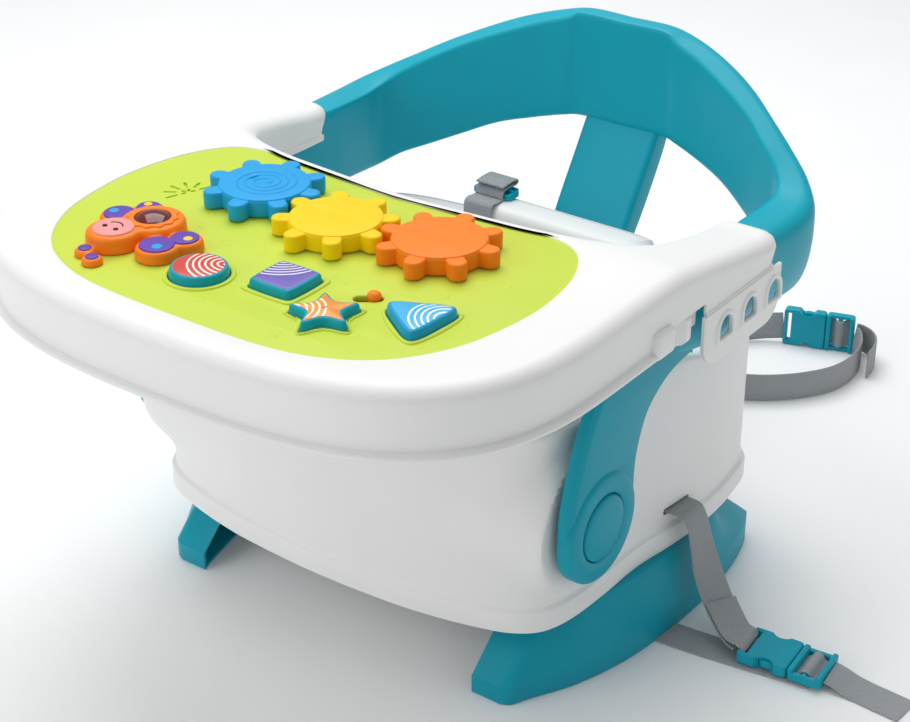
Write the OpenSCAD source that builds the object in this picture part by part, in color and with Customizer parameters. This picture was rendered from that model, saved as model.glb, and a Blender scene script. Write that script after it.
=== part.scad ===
// Baby floor seat with a play tray: white bucket base on two feet, a hinged back
// frame that carries a sliding tray, and an activity panel dropped into the tray.
// Millimetres, +Z up, the child faces -Y, origin on the floor at the middle.

/* [Seat base] */
// Outside width of the base wall
base_w = 352; // [336:2:356]
// Reach of the base wall in front of the origin
base_front = 124; // [118:1:128]
// Reach of the base wall behind the origin
base_back = 180; // [172:1:184]
// Thickness of the base and seat mouldings
base_wall = 3; // [2:0.5:4]
// Height of the flared band round the foot of the wall
band_h = 16; // [12:1:20]
// How far the band stands out from the wall
band_out = 3; // [2:0.5:5]
// Height of the seat's front edge above the floor, in the dip for the legs
lip_front = 168; // [154:1:176]
// Height of the seat's raised sides above the floor
side_top = 199; // [192:1:200]
// Width of the dip in the seat's front edge
dip_w = 130; // [110:2:160]
// Height of the seat's rear edge above the floor
lip_back = 190; // [180:1:198]
// Height of the raised middle of the seat back
hump_top = 206; // [200:1:210]
// Width of the raised middle of the seat back
hump_w = 150; // [120:2:170]
// Width of the moulded lip that joins the base wall to the seat
rim_w = 26; // [22:1:30]
// Height of the seat surface above the floor
seat_floor = 118; // [110:1:124]

/* [Feet] */
// Height of the feet
foot_h = 56; // [52:1:60]
// Wall of the hollow feet
foot_wall = 3; // [2:0.5:4]

/* [Hubs] */
// Hub axis from the origin, along Y
hub_y = -61.5; // [-66:0.5:-58]
// Height of the hub axis
hub_z = 129; // [126:0.2:132]
// Outer face of the arms, from the middle
hub_x = 185; // [184:0.5:187]
// Thickness of the arms at the hub
arm_t = 16; // [14:0.5:17]
// Radius of the arm's round end
hub_r = 38.2; // [35:0.2:40]
// Radius of the round hub button
cap_r = 22.4; // [20:0.2:24]
// Radius of the hub pivot pin
pin_r = 9; // [8:0.5:11]
// Travel of the hub button
cap_travel = 4; // [3:0.5:4.5]

/* [Back frame] */
// Lowest line of the armrests
armrest_z = 208; // [206:1:210]
// Top line of the armrests
armrest_top = 271; // [268:1:272]
// Inner face of the armrests, from the middle
armrest_in = 169; // [168:0.5:170]
// Outer face of the armrests, from the middle
armrest_out = 200; // [196:0.5:202]
// Top of the back ring at its middle
ring_top = 338; // [330:1:346]
// Lower edge of the back ring at its middle
ring_low = 255; // [248:1:262]
// Reach of the back ring behind the origin
ring_back = 261; // [254:1:266]
// Width of the strut behind the seat
strut_w = 64; // [56:1:70]
// Thickness of the strut
strut_t = 19; // [15:1:24]

/* [Tray] */
// Width of the tray over its rolled edge
tray_w = 420; // [414:1:426]
// Reach of the tray in front of the origin
tray_front = 264; // [260:1:268]
// Height of the tray's top face
tray_z = 297; // [296:0.5:298]
// Height of the tray's skirt
tray_h = 44; // [42:1:44]
// Wall of the tray
tray_wall = 3; // [2.5:0.5:3.5]
// Rear end of the tray's arms
tray_arm_y = 104; // [100:1:106]
// Inner face of the tray's arms, from the middle
tray_arm_in = 164; // [163:0.5:165]
// Top of the tray's arms at their rear end
tray_arm_top = 279; // [278:0.5:281]
// Pitch of the three catch holes
catch_pitch = 31; // [28:0.5:32]

/* [Activity panel] */
// Width of the lime panel
panel_w = 326; // [318:2:328]
// Reach of the panel in front of the origin
panel_front = 238; // [234:1:240]
// Thickness of the panel's top plate
panel_t = 5; // [4:0.5:5]
// Depth of the panel's housing
panel_deep = 33; // [32:0.5:33]
// Clearance of the panel in the tray's pocket
panel_gap = 0.8; // [0.4:0.1:1.2]

/* [Gears] */
// Distance between neighbouring gear axes
gear_pitch = 71; // [70.5:0.1:72]
// Outer radius of a gear
gear_r = 40; // [38:0.2:40]
// Root radius of a gear
gear_root = 30; // [28:0.2:30]
// Number of teeth on each gear
gear_teeth = 8; // [8:1:8]
// Thickness of a gear
gear_t = 12; // [10:0.5:13]
// Radius of a gear post
post_r = 6; // [5:0.25:8]
// Running clearance of a gear on its post
run_gap = 0.05; // [0.03:0.01:0.08]

/* [Buttons] */
// Height of the buttons above the panel
button_h = 7.5; // [6:0.5:9]
// Travel of the buttons
button_travel = 2.5; // [2:0.25:3]
// Clearance of a button in its opening
button_gap = 0.5; // [0.3:0.1:0.8]
// Radius of the round button
round_r = 17; // [15:0.5:18]
// Half side of the square button
square_r = 16.5; // [14:0.5:17]
// Reach of the star button's points
star_r = 22; // [19:0.5:23]
// Reach of the triangle button's corners
triangle_r = 25; // [22:0.5:27]
// Travel of the mode switch
switch_travel = 7; // [5:0.5:8]

/* [Straps] */
// Width of the webbing
web_w = 25; // [20:1:26]
// Thickness of the webbing
web_t = 1.6; // [1.2:0.1:2]
// Width of a buckle
buckle_w = 34; // [32:1:36]
// Thickness of a buckle
buckle_t = 9; // [8:0.5:11]

/* [Hidden] */
$fn = 48;

teal = "#0094a8";
white = "#f4f4f2";
lime = "#cfe35a";
orange = "#ff8a1c";
webbing_grey = "#8f9296";

// ---- outlines ------------------------------------------------------------

// Point on the Catmull-Rom curve between b and c
function on_curve(a, b, c, d, t) = 0.5 * (2 * b + (c - a) * t
    + (2 * a - 5 * b + 4 * c - d) * t * t + (3 * b - a - 3 * c + d) * t * t * t);
// Closed smooth curve through the points p
function smooth(p, steps) = [for (i = [0 : len(p) - 1]) for (s = [0 : steps - 1])
    on_curve(p[(i + len(p) - 1) % len(p)], p[i], p[(i + 1) % len(p)],
        p[(i + 2) % len(p)], s / steps)];
// Open smooth curve through the points p, whatever their length
function through(p, steps) = concat([for (i = [0 : len(p) - 2]) for (s = [0 : steps - 1])
    on_curve(p[max(i - 1, 0)], p[i], p[i + 1], p[min(i + 2, len(p) - 1)], s / steps)],
    [p[len(p) - 1]]);
// A right-hand half outline, front to back, with its mirror image
function both(h) = concat(h, [for (i = [len(h) - 1 : -1 : 0])
    if (h[i].x > 0.01) [-h[i].x, h[i].y]]);
// Points of an arc
function arc(c, r, a0, a1, n) = [for (i = [0 : n])
    c + r * [cos(a0 + (a1 - a0) * i / n), sin(a0 + (a1 - a0) * i / n)]];

// Base wall, as shares of its half width and of its reach to the front and back
base_half = [[0, -1], [0.32, -0.975], [0.51, -0.935], [0.67, -0.875], [0.8, -0.8], [0.875, -0.71],
    [0.915, -0.6], [0.94, -0.4], [0.95, -0.15], [0.955, 0.04], [0.99, 0.28], [1, 0.5],
    [0.985, 0.68], [0.94, 0.85], [0.78, 0.95], [0.45, 0.995], [0, 1]];
function base_pts(grow) = smooth(both([for (p = base_half) [p.x * (base_w / 2 + grow),
    p.y < 0 ? p.y * (base_front + grow) : p.y * (base_back + grow)]]), 3);

// Lime panel, as shares of its half width and of its reach and mid line
panel_mid = -130;
panel_rear = -34;
panel_half = [[0, -1], [0.4, -0.98], [0.64, -0.88], [0.81, -0.7], [0.93, -0.42],
    [0.985, -0.1], [1, 0.28], [0.95, 0.72], [0.83, 1.02], [0.62, 1.09], [0.36, 1.03], [0, 0.98]];
function panel_pts(grow) = smooth(both([for (p = panel_half) [p.x * (panel_w / 2 + grow),
    panel_mid + (p.y < 0 ? p.y * (panel_front + panel_mid + grow)
        : p.y * (panel_rear - panel_mid + grow))]]), 4);

// Tray: superelliptic front, straight sides, two arms and a bay for the child
tray_mid = -98;
tray_power = 2.9;
bay_depth = 22;
bay_w = 150;
module tray_outline(grow) {
    a = tray_w / 2 + grow;
    b = tray_front + tray_mid + grow;
    front = [for (t = [180 : 6 : 360]) [a * sign(cos(t)) * pow(abs(cos(t)), 2 / tray_power),
        tray_mid - b * pow(abs(sin(t)), 2 / tray_power)]];
    inner = tray_arm_in - grow;
    bay = through([[inner, tray_arm_y + grow], [inner, 40], [bay_w + 4 - grow, 8 + grow],
        [bay_w - 40, -12 + grow], [60, -bay_depth + 4 + grow], [0, -bay_depth + grow]], 4);
    polygon(concat(front, [[a, tray_arm_y + grow - 12], [a - 10, tray_arm_y + grow]], bay,
        [for (i = [len(bay) - 2 : -1 : 0]) [-bay[i].x, bay[i].y]],
        [[-a + 10, tray_arm_y + grow], [-a, tray_arm_y + grow - 12]]));
}

// ---- general solids ------------------------------------------------------

// Closed skin over rings of equal length, with flat fan ends
module skin(rings) {
    n = len(rings[0]);
    m = len(rings);
    polyhedron(points = [for (r = rings) for (p = r) p],
        faces = concat([for (j = [0 : m - 2]) for (i = [0 : n - 1]) each
            [[j * n + i, (j + 1) * n + (i + 1) % n, j * n + (i + 1) % n],
             [j * n + i, (j + 1) * n + i, (j + 1) * n + (i + 1) % n]]],
            [for (i = [1 : n - 2]) [0, i, i + 1]],
            [for (i = [1 : n - 2]) [(m - 1) * n, (m - 1) * n + i + 1, (m - 1) * n + i]]));
}
module prism(points, low, high) {
    translate([0, 0, low]) linear_extrude(high - low) polygon(points);
}
// Cylinder along X between two X values, centred on (y, z)
module x_rod(x0, x1, r, y, z) {
    translate([min(x0, x1), y, z]) rotate([0, 90, 0]) cylinder(r = r, h = abs(x1 - x0));
}
// Plate along X between two X values from an outline in Y and Z
module x_plate(x0, x1, points) {
    translate([min(x0, x1), 0, 0]) rotate([90, 0, 90]) linear_extrude(abs(x1 - x0))
        polygon(points);
}
module box(low, high) {
    translate(low) cube(high - low);
}
// The same, on the right side for s = 1 and on the left for s = -1
module x_box(s, x0, x1, y0, y1, z0, z1) {
    box([min(s * x0, s * x1), y0, z0], [max(s * x0, s * x1), y1, z1]);
}

// ---- seat base -----------------------------------------------------------

wall_low = foot_h;
boss_gap = 0.3;
boss_r = pin_r + 7;
pad_r = hub_r + 8;
boss_in = base_w / 2 - 28;
arm_in = hub_x - arm_t;
slot_h = 5;
slot_w = web_w + 3;
side_slot_y = 49;
side_slot_z = 85;
rear_slot_x = 30;
rear_slot_z = 84;
ledge_z = 118;
strut_gap = 16;
ledge_t = 10;

// Side view of the base: the space under the seat's sloping upper edge
module under_lip(raise) {
    x_plate(-base_w, base_w, [[-2 * base_front, 0], [2 * base_back, 0],
        [2 * base_back, lip_back + raise], [base_back * 0.5, lip_back + raise],
        [-base_front * 0.3, lip_front + raise], [-2 * base_front, lip_front + raise]]);
}
// The space under the seat's raised sides, seen from the front and from the side
dip_ease = 45;
module under_sides(raise) {
    for (s = [-1, 1]) intersection() {
        translate([0, 2 * base_back, 0]) rotate([90, 0, 0]) linear_extrude(4 * base_back)
            polygon([[s * dip_w / 2, 0], [s * dip_w / 2, lip_front + raise],
                [s * (dip_w / 2 + dip_ease), side_top + raise], [s * base_w, side_top + raise],
                [s * base_w, 0]]);
        x_plate(-base_w, base_w, [[-2 * base_front, 0], [base_back / 2, 0],
            [base_back / 2, lip_back + raise], [base_back / 4, side_top + raise],
            [-2 * base_front, side_top + raise]]);
    }
}
module under_rim(raise) {
    under_lip(raise);
    under_sides(raise);
}
module hump(grow_w, low, high, depth) {
    intersection() {
        prism(base_pts(-depth), low, high);
        box([-hump_w / 2 - grow_w, base_back - 60, low], [hump_w / 2 + grow_w, base_back + 1, high]);
    }
}
module strap_slots() {
    for (s = [-1, 1]) {
        x_box(s, base_w / 2 - 30, base_w / 2 + 10, side_slot_y - slot_w / 2,
            side_slot_y + slot_w / 2, side_slot_z - slot_h / 2, side_slot_z + slot_h / 2);
        box([s * rear_slot_x - slot_h / 2, base_back - 30, rear_slot_z - slot_w / 2],
            [s * rear_slot_x + slot_h / 2, base_back + 10, rear_slot_z + slot_w / 2]);
    }
}
module base_shell() {
    color(white) difference() {
        union() {
            prism(base_pts(band_out), wall_low, wall_low + band_h);
            intersection() {
                prism(base_pts(0), wall_low, side_top);
                under_rim(0);
            }
            hump(0, lip_back - 1, hump_top, 0);
            for (s = [-1, 1]) x_rod(s * (boss_in - 15), s * (arm_in - boss_gap), pad_r, hub_y, hub_z);
            box([-strut_w / 2 - 6, base_back - 4, ledge_z - ledge_t],
                [strut_w / 2 + 6, base_back + strut_gap + strut_t + 2, ledge_z]);
        }
        difference() {
            prism(base_pts(-base_wall), wall_low - 1, hump_top + 1);
            for (s = [-1, 1]) x_rod(s * boss_in, s * base_w / 2, boss_r, hub_y, hub_z);
        }
        for (s = [-1, 1]) x_rod(s * (boss_in - 1), s * (arm_in + 1), pin_r, hub_y, hub_z);
        strap_slots();
    }
}
seat_gap = 0.3;
waist_x = 66;
waist_slot_z = seat_floor + 24;
module seat_pan() {
    inner = -rim_w;
    color(white) difference() {
        union() {
            intersection() {
                prism(base_pts(-base_wall - seat_gap), seat_floor - base_wall, side_top);
                under_rim(0);
            }
            hump(-1, lip_back - 1, hump_top, base_wall + seat_gap);
        }
        prism(base_pts(inner), seat_floor, hump_top + 1);
        difference() {
            intersection() {
                prism(base_pts(-2 * base_wall - seat_gap), seat_floor - base_wall - 1, side_top);
                under_rim(-base_wall);
            }
            prism(base_pts(inner + base_wall), seat_floor - base_wall - 1, hump_top);
        }
        for (s = [-1, 1]) x_rod(s * (boss_in - 2), s * base_w / 2, boss_r + 1, hub_y, hub_z);
        for (s = [-1, 1]) x_box(s, waist_x - slot_w / 2, waist_x + slot_w / 2, base_back - 2 * rim_w,
            base_back - rim_w + base_wall + 1, waist_slot_z - slot_h / 2, waist_slot_z + slot_h / 2);
    }
}

// ---- feet and underside --------------------------------------------------

foot_front = -110;
foot_rear = 141;
foot_outer = [for (p = [[-36, foot_front], [-29, foot_front + 4], [-23, -94], [-8, -66], [3, -34],
    [9, -4], [12, 30], [13, 67], [12, 105], [9, 128], [4, 138]]) [base_w / 2 + p.x, p.y]];
foot_inner = [for (p = [[-24, foot_rear], [-30, 100], [-35, 40], [-40, -20], [-48, -70],
    [-58, foot_front]]) [base_w / 2 + p.x, p.y]];
foot_screws_at = [[base_w / 2 - 36, -38], [base_w / 2 - 22, 110]];
screw_r = 2;
screw_fit = 0.05;
strap_notch = 2;
function side_x(s, p) = [for (q = p) [s * q.x, q.y]];

// Side view of a foot: upright at the floor, then its front end leans back
foot_lean = 48;
toe_h = 14;
crease_h = 22;
module foot_side(inset) {
    x_plate(-base_w, base_w, [[foot_front + inset, 0], [foot_front + inset, toe_h],
        [foot_front + foot_lean + inset, foot_h], [foot_rear, foot_h], [foot_rear, 0]]);
}
// Front view of a foot: upright to a crease, then its outer face leans in to the base's band
module foot_face(inset) {
    crease_x = base_w / 2 + 14 - inset;
    top_x = base_w / 2 + band_out - inset;
    translate([0, foot_rear, 0]) rotate([90, 0, 0]) linear_extrude(foot_rear - foot_front)
        polygon([[-crease_x, 0], [crease_x, 0], [crease_x, crease_h], [top_x, foot_h],
            [-top_x, foot_h], [-crease_x, crease_h]]);
}
module foot(s) {
    line = through(foot_outer, 3);
    shell = concat(line, foot_inner);
    inside = base_w / 2 - 70;
    cavity = concat([for (p = line) [p.x - foot_wall, min(p.y, foot_rear - foot_wall)]],
        [[inside, foot_rear - foot_wall], [inside, foot_front]]);
    color(teal) difference() {
        intersection() {
            prism(side_x(s, shell), 0, foot_h);
            foot_side(0);
            foot_face(0);
        }
        intersection() {
            prism(side_x(s, cavity), foot_wall, foot_h - foot_wall);
            foot_side(foot_wall);
            foot_face(foot_wall);
        }
        for (p = foot_screws_at) translate([s * p.x, p.y, foot_h - foot_wall - 1])
            cylinder(r = screw_r + screw_fit, h = foot_wall + 2);
        x_box(s, inside, base_w, strap_y - slot_w / 2, strap_y + slot_w / 2, -1, strap_notch);
    }
}
module left_foot() { foot(-1); }
module right_foot() { foot(1); }

plate_t = 3;
boss_h = 8;
seat_post_x = base_w / 2 - 80;
seat_post_y = [-55, 120];
module base_underside() {
    color(white) difference() {
        union() {
            prism(base_pts(-base_wall - seat_gap), wall_low, wall_low + plate_t);
            for (s = [-1, 1]) for (p = foot_screws_at)
                translate([s * p.x, p.y, wall_low]) cylinder(r = 6, h = plate_t + boss_h);
            for (s = [-1, 1]) for (y = seat_post_y) translate([s * seat_post_x, y, wall_low])
                cylinder(r = 8, h = seat_floor - base_wall - wall_low);
        }
        for (s = [-1, 1]) for (p = foot_screws_at)
            translate([s * p.x, p.y, wall_low - 1]) cylinder(r = screw_r + screw_fit,
                h = plate_t + boss_h);
    }
}
module foot_screws() {
    color("silver") for (s = [-1, 1]) for (p = foot_screws_at)
        translate([s * p.x, p.y, 0]) {
            translate([0, 0, foot_h - foot_wall - 2.5]) cylinder(r = 2 * screw_r, h = 2.5);
            translate([0, 0, foot_h - foot_wall - 0.1]) cylinder(r = screw_r,
                h = foot_wall + plate_t + boss_h - 2);
        }
}

// ---- hubs and arms -------------------------------------------------------

cup_floor = 4;
cup_r = cap_r + 0.5;
pin_head_r = 14;
pin_head_t = 3;
cap_dome = 2;
cap_wall = 2.5;
module hub_pin(s) {
    color("silver") {
        x_rod(s * boss_in, s * (arm_in + cup_floor + 0.1), pin_r - run_gap, hub_y, hub_z);
        x_rod(s * (arm_in + cup_floor + 0.1), s * (arm_in + cup_floor + pin_head_t), pin_head_r,
            hub_y, hub_z);
    }
}
module left_hub_pin() { hub_pin(-1); }
module right_hub_pin() { hub_pin(1); }

// Side view of an arm: round end at the hub, sweeping back to the armrest
arm_front = [[-38, 0], [-36.5, 24], [-30, 48], [-20, 73]];
arm_rear = [[104, 0], [78, -3], [61, -10], [48, -22], [39, -45], [37.5, -68]];
frame_screw_x = armrest_in + 4.5;
frame_screw_y = [hub_y + 64, hub_y + 82];
frame_screw_l = 18;
arm_web = 4;
module arm(s) {
    front = through([for (p = arm_front) [hub_y + p.x, hub_z + p.y]], 4);
    rear = through([for (p = arm_rear) [hub_y + p.x, armrest_z + p.y]], 4);
    color(teal) difference() {
        union() {
            x_plate(s * arm_in, s * hub_x, concat(front, [[hub_y - 14, armrest_z]], rear));
            x_rod(s * arm_in, s * hub_x, hub_r, hub_y, hub_z);
        }
        x_rod(s * (arm_in - 1), s * (arm_in + cup_floor + 1), pin_r, hub_y, hub_z);
        x_rod(s * (arm_in + cup_floor), s * (hub_x + 1), cup_r, hub_y, hub_z);
        for (y = frame_screw_y) translate([s * frame_screw_x, y, 0]) {
            translate([0, 0, armrest_z - arm_web - 1]) cylinder(r = screw_r + screw_fit, h = arm_web + 2);
            translate([0, 0, armrest_z - 20]) cylinder(r = 2 * screw_r + 0.3, h = 20 - arm_web);
        }
    }
}
module left_arm() { arm(-1); }
module right_arm() { arm(1); }

cap_skirt = 6;
module hub_button(s) {
    color(teal) difference() {
        union() {
            x_rod(s * (hub_x - cap_skirt), s * hub_x, cap_r, hub_y, hub_z);
            x_rod(s * (hub_x - 1), s * (hub_x + cap_dome), cap_r - 2, hub_y, hub_z);
        }
        x_rod(s * (hub_x - cap_skirt - 1), s * (hub_x + cap_dome - cap_wall), cap_r - cap_wall,
            hub_y, hub_z);
    }
}
module left_hub_button() { hub_button(-1); }
module right_hub_button() { hub_button(1); }

// The hub's spring is drawn at its pressed length, seated on the pin's head
spring_r = 7;
spring_wire = 1.4;
module hub_spring(s) {
    seat = arm_in + cup_floor + pin_head_t;
    crown = hub_x + cap_dome - cap_wall - cap_travel;
    color("silver") difference() {
        x_rod(s * seat, s * (crown - 0.4), spring_r, hub_y, hub_z);
        x_rod(s * (seat - 1), s * crown, spring_r - spring_wire, hub_y, hub_z);
    }
}
module left_hub_spring() { hub_spring(-1); }
module right_hub_spring() { hub_spring(1); }

// ---- back frame ----------------------------------------------------------

// Rows along the frame's right half, from the armrest's front end to the middle of
// the back: inner x, y, outer x, y, lower edge, upper edge
ring_rows = [
    [armrest_in, -66, hub_x + 2, -66, armrest_z, armrest_top],
    [armrest_in, -12, hub_x + 2, -12, armrest_z, armrest_top],
    [armrest_in, 10, armrest_out, 10, armrest_z, armrest_top],
    [armrest_in, 60, armrest_out, 60, armrest_z, armrest_top],
    [armrest_in + 1, 112, armrest_out + 1, 112, armrest_z, armrest_top],
    [armrest_in + 4, 148, armrest_out + 2, 149, armrest_z - 3, armrest_top],
    [armrest_in + 3, 170, armrest_out - 2, 172, armrest_z - 3, armrest_top + 3],
    [armrest_in - 7, 184, armrest_out - 17, ring_back - 70, ring_low - 43, ring_top - 56],
    [armrest_in - 23, ring_back - 66, armrest_out - 36, ring_back - 56, ring_low - 36, ring_top - 46],
    [armrest_in - 46, ring_back - 51, armrest_out - 58, ring_back - 43, ring_low - 26, ring_top - 34],
    [armrest_in - 71, ring_back - 39, armrest_out - 82, ring_back - 27, ring_low - 15, ring_top - 23],
    [armrest_in - 97, ring_back - 29, armrest_out - 106, ring_back - 16, ring_low - 8, ring_top - 13],
    [armrest_in - 121, ring_back - 23, armrest_out - 134, ring_back - 6, ring_low - 2, ring_top - 5],
    [strut_w / 2 + 3, ring_back - 20, strut_w / 2 + 3, ring_back - 1, ring_low, ring_top]];
// Shares of the band's thickness and height that draw its section
band_section = [[0.02, 0], [0, 0.5], [0, 0.94], [0.08, 1], [0.6, 1], [0.86, 0.96],
    [1, 0.86], [1, 0.6], [0.92, 0.36], [0.66, 0.12], [0.34, 0]];
// Behind the tray the inner face leans in towards its top
lean = 0.14;
function lean_at(y, q) = q.x < 0.1 ? lean * q.y * min(1, max(0, (y - tray_arm_y) / 50)) : 0;
function section(r) = [for (q = band_section) let (x = q.x - lean_at(r[1], q))
    [r[0] + (r[2] - r[0]) * x, r[1] + (r[3] - r[1]) * x, r[4] + (r[5] - r[4]) * q.y]];
function mirror_row(r) = [-r[0], r[1], -r[2], r[3], r[4], r[5]];
module back_ring() {
    half = through(ring_rows, 2);
    rows = concat(half, [for (i = [len(half) - 1 : -1 : 0]) mirror_row(half[i])]);
    color(teal) difference() {
        skin([for (r = rows) section(r)]);
        for (s = [-1, 1]) for (y = frame_screw_y) translate([s * frame_screw_x, y, armrest_z - 1])
            cylinder(r = screw_r + screw_fit, h = frame_screw_l + 2);
    }
}
// The strut's head takes the line of the ring's lower edge, where the ring runs straight
strut_front = base_back + strut_gap;
module back_strut() {
    seat = section(ring_rows[len(ring_rows) - 1]);
    color(teal) x_plate(-strut_w / 2, strut_w / 2, concat(
        [[strut_front, ledge_z], [strut_front, 180], [strut_front + 4, 192]],
        [for (k = [0, 10, 9, 8]) [seat[k].y, seat[k].z]],
        [[ring_back + 1, ring_low + 14], [ring_back + 2, ring_low - 5],
            [strut_front + strut_t + 7, 188], [strut_front + strut_t, ledge_z]]));
}
module frame_screws() {
    color("silver") for (s = [-1, 1]) for (y = frame_screw_y)
        translate([s * frame_screw_x, y, armrest_z - arm_web]) {
            translate([0, 0, -2.5]) cylinder(r = 2 * screw_r, h = 2.5);
            cylinder(r = screw_r, h = frame_screw_l);
        }
}

// ---- tray ----------------------------------------------------------------

roll = 12;
skirt_low = tray_z - tray_h;
slope_y = -20;
catch_y = 32;
catch_z = 240;
catch_low = 218;
catch_w = 16;
catch_h = 14;
catch_out = tray_w / 2;
latch_y = -14;
latch_w = 20;
latch_z = 245;
latch_h = 15;
latch_out = tray_w / 2 + 3;
latch_travel = 3;
latch_gap = 0.3;
tub_in = -6;
tub_low = skirt_low + 5;

// Side view of the tray: level over the panel, sloping down along the arms
module tray_side(drop) {
    x_plate(-tray_w, tray_w, [[-2 * tray_front, 0], [2 * tray_arm_y, 0],
        [2 * tray_arm_y, tray_arm_top - drop], [tray_arm_y - 20, tray_arm_top - drop],
        [slope_y, tray_z - drop], [-2 * tray_front, tray_z - drop]]);
}
module tray_layer(grow, low, high, drop) {
    intersection() {
        translate([0, 0, low]) linear_extrude(high - low) tray_outline(grow);
        tray_side(drop);
    }
}
module catch_plate(s) {
    y0 = catch_y - catch_w / 2 - 9;
    y1 = tray_arm_y;
    x_plate(s * (catch_out - tray_wall), s * catch_out, concat(
        [[y1, skirt_low + 4], [y0, skirt_low + 4]],
        arc([y0 + 18, catch_low + 18], 18, 180, 270, 6),
        arc([y1 - 18, catch_low + 18], 18, 270, 360, 6)));
}
module catch_hole(s, i, grow, x0, x1) {
    y = catch_y + i * catch_pitch;
    x_plate(s * x0, s * x1, concat([[y - catch_w / 2 - grow, catch_z - catch_h / 2 - grow]],
        [[y + catch_w / 2 + grow, catch_z - catch_h / 2 - grow]],
        arc([y, catch_z], catch_w / 2 + grow, 0, 180, 10)));
}
module tray_shell() {
    color(white) difference() {
        union() {
            tray_layer(0, skirt_low, tray_z - roll, 0);
            tray_layer(-2, tray_z - roll - 20, tray_z - roll / 2, roll / 4);
            tray_layer(-roll / 2, tray_z - roll - 20, tray_z, 0);
            tray_layer(2, skirt_low, skirt_low + 4, 0);
            for (s = [-1, 1]) {
                catch_plate(s);
                for (i = [0 : 2]) catch_hole(s, i, 3, catch_out - 1, catch_out + 1.5);
                x_box(s, tray_w / 2 - 4, latch_out, latch_y - 30, latch_y - 6, latch_z - 4, latch_z + 18);
                x_box(s, tray_w / 2 - 4, latch_out, latch_y - 7, latch_y + latch_w + 4, latch_z - 4,
                    latch_z - latch_gap);
            }
        }
        difference() {
            union() {
                tray_layer(-tray_wall, skirt_low - 1, tray_z - roll - 2, tray_wall + 1);
                tray_layer(-roll, skirt_low - 1, tray_z - tray_wall - 1, tray_wall + 1);
            }
            prism(panel_pts(tub_in + tray_wall), tub_low, tray_z);
            prism(panel_pts(panel_gap + tray_wall), tray_z - panel_t - 1 - tray_wall, tray_z);
        }
        for (s = [-1, 1]) {
            x_box(s, armrest_in - 2, catch_out - tray_wall, tray_arm_y - 4 * tray_wall, tray_arm_y + 4,
                skirt_low - 1, armrest_top + 1.5);
            for (i = [0 : 2]) catch_hole(s, i, 0, catch_out - 5, catch_out + 5);
            x_box(s, tray_w / 2 - 9, tray_w / 2 + 9, latch_y - latch_gap, latch_y + latch_w + latch_gap,
                latch_z - latch_gap, latch_z + latch_h + latch_gap);
        }
        prism(panel_pts(panel_gap), tray_z - panel_t - 1, tray_z + 1);
        prism(panel_pts(tub_in), tub_low + tray_wall, tray_z + 1);
    }
}
module tray_latch(s) {
    color(white) {
        x_box(s, tray_w / 2 - 6, latch_out, latch_y, latch_y + latch_w, latch_z, latch_z + latch_h);
        x_box(s, tray_w / 2 - 6, tray_w / 2 - tray_wall - latch_gap, latch_y, latch_y + latch_w,
            latch_z, latch_z + latch_h + 3);
    }
}
module left_tray_latch() { tray_latch(-1); }
module right_tray_latch() { tray_latch(1); }

// ---- activity panel ------------------------------------------------------

panel_z = tray_z - 1;
plate_low = panel_z - panel_t;
housing_low = panel_z - panel_deep;
housing_t = 2;
gear_angle = 11;
gear_y = -99;
gear_x = 5.5;
yellow_at = [gear_x, gear_y];
blue_at = yellow_at + gear_pitch * [-cos(gear_angle), sin(gear_angle)];
orange_at = yellow_at + gear_pitch * [cos(gear_angle), sin(gear_angle)];
gear_low = panel_z + 0.5;
post_top = gear_low + gear_t - 4;
round_at = [-0.074 * panel_w, -191];
square_at = [0.08 * panel_w, -171];
star_at = [0.218 * panel_w, -190];
triangle_at = [0.362 * panel_w, -163];
switch_at = [0.242 * panel_w, -154];
switch_angle = 36;
lip_w = 3;
lip_h = 1.2;
flange_w = 2.5;
flange_t = 2.2;
board_z = panel_z - 13;
board_t = 1.6;
housing_screws = [[-120, -60], [120, -60], [-145, -130], [145, -130], [-60, -216], [48, -214]];
board_posts = [[-52, -140], [110, -135], [39, -203]];

// Outlines of the four buttons, grown by a clearance or a lip
module round_shape(grow) { circle(r = round_r + grow, $fn = 40); }
module square_shape(grow) {
    a = square_r + grow;
    polygon(smooth([for (t = [0 : 90 : 270]) each [[a, -0.62 * a], [1.02 * a, 0],
        [a, 0.62 * a], [0.93 * a, 0.93 * a]] * [[cos(t), sin(t)], [-sin(t), cos(t)]]], 2));
}
module star_shape(grow) {
    polygon(smooth([for (k = [0 : 4]) each [
        (star_r + grow) * [cos(72 * k - 94), sin(72 * k - 94)],
        (star_r + grow) * [cos(72 * k - 82), sin(72 * k - 82)],
        (0.6 * star_r + grow) * [cos(72 * k - 54), sin(72 * k - 54)]]], 3));
}
module triangle_shape(grow) {
    polygon(smooth([for (k = [0 : 2]) each [
        (triangle_r + grow) * [cos(120 * k + 47), sin(120 * k + 47)],
        (triangle_r + grow) * [cos(120 * k + 65), sin(120 * k + 65)],
        (0.72 * triangle_r + grow) * [cos(120 * k + 116), sin(120 * k + 116)]]], 3));
}
module switch_slot(grow) {
    rotate(switch_angle) translate([-switch_travel / 2, 0]) square(
        [switch_travel + 11 + 2 * grow, 8 + 2 * grow], center = true);
}
module openings_2d(grow) {
    translate(round_at) round_shape(grow);
    translate(square_at) square_shape(grow);
    translate(star_at) star_shape(grow);
    translate(triangle_at) triangle_shape(grow);
}
speaker_at = [-112, -106];
speaker_r = 20;
module sound_slots() {
    for (a = [70 : 36 : 250]) translate(speaker_at) rotate(a) translate([12, 0])
        square([9, 2.2], center = true);
    for (a = [100 : 60 : 280]) translate(speaker_at) rotate(a) translate([4, 0])
        square([4, 2.2], center = true);
}
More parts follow.
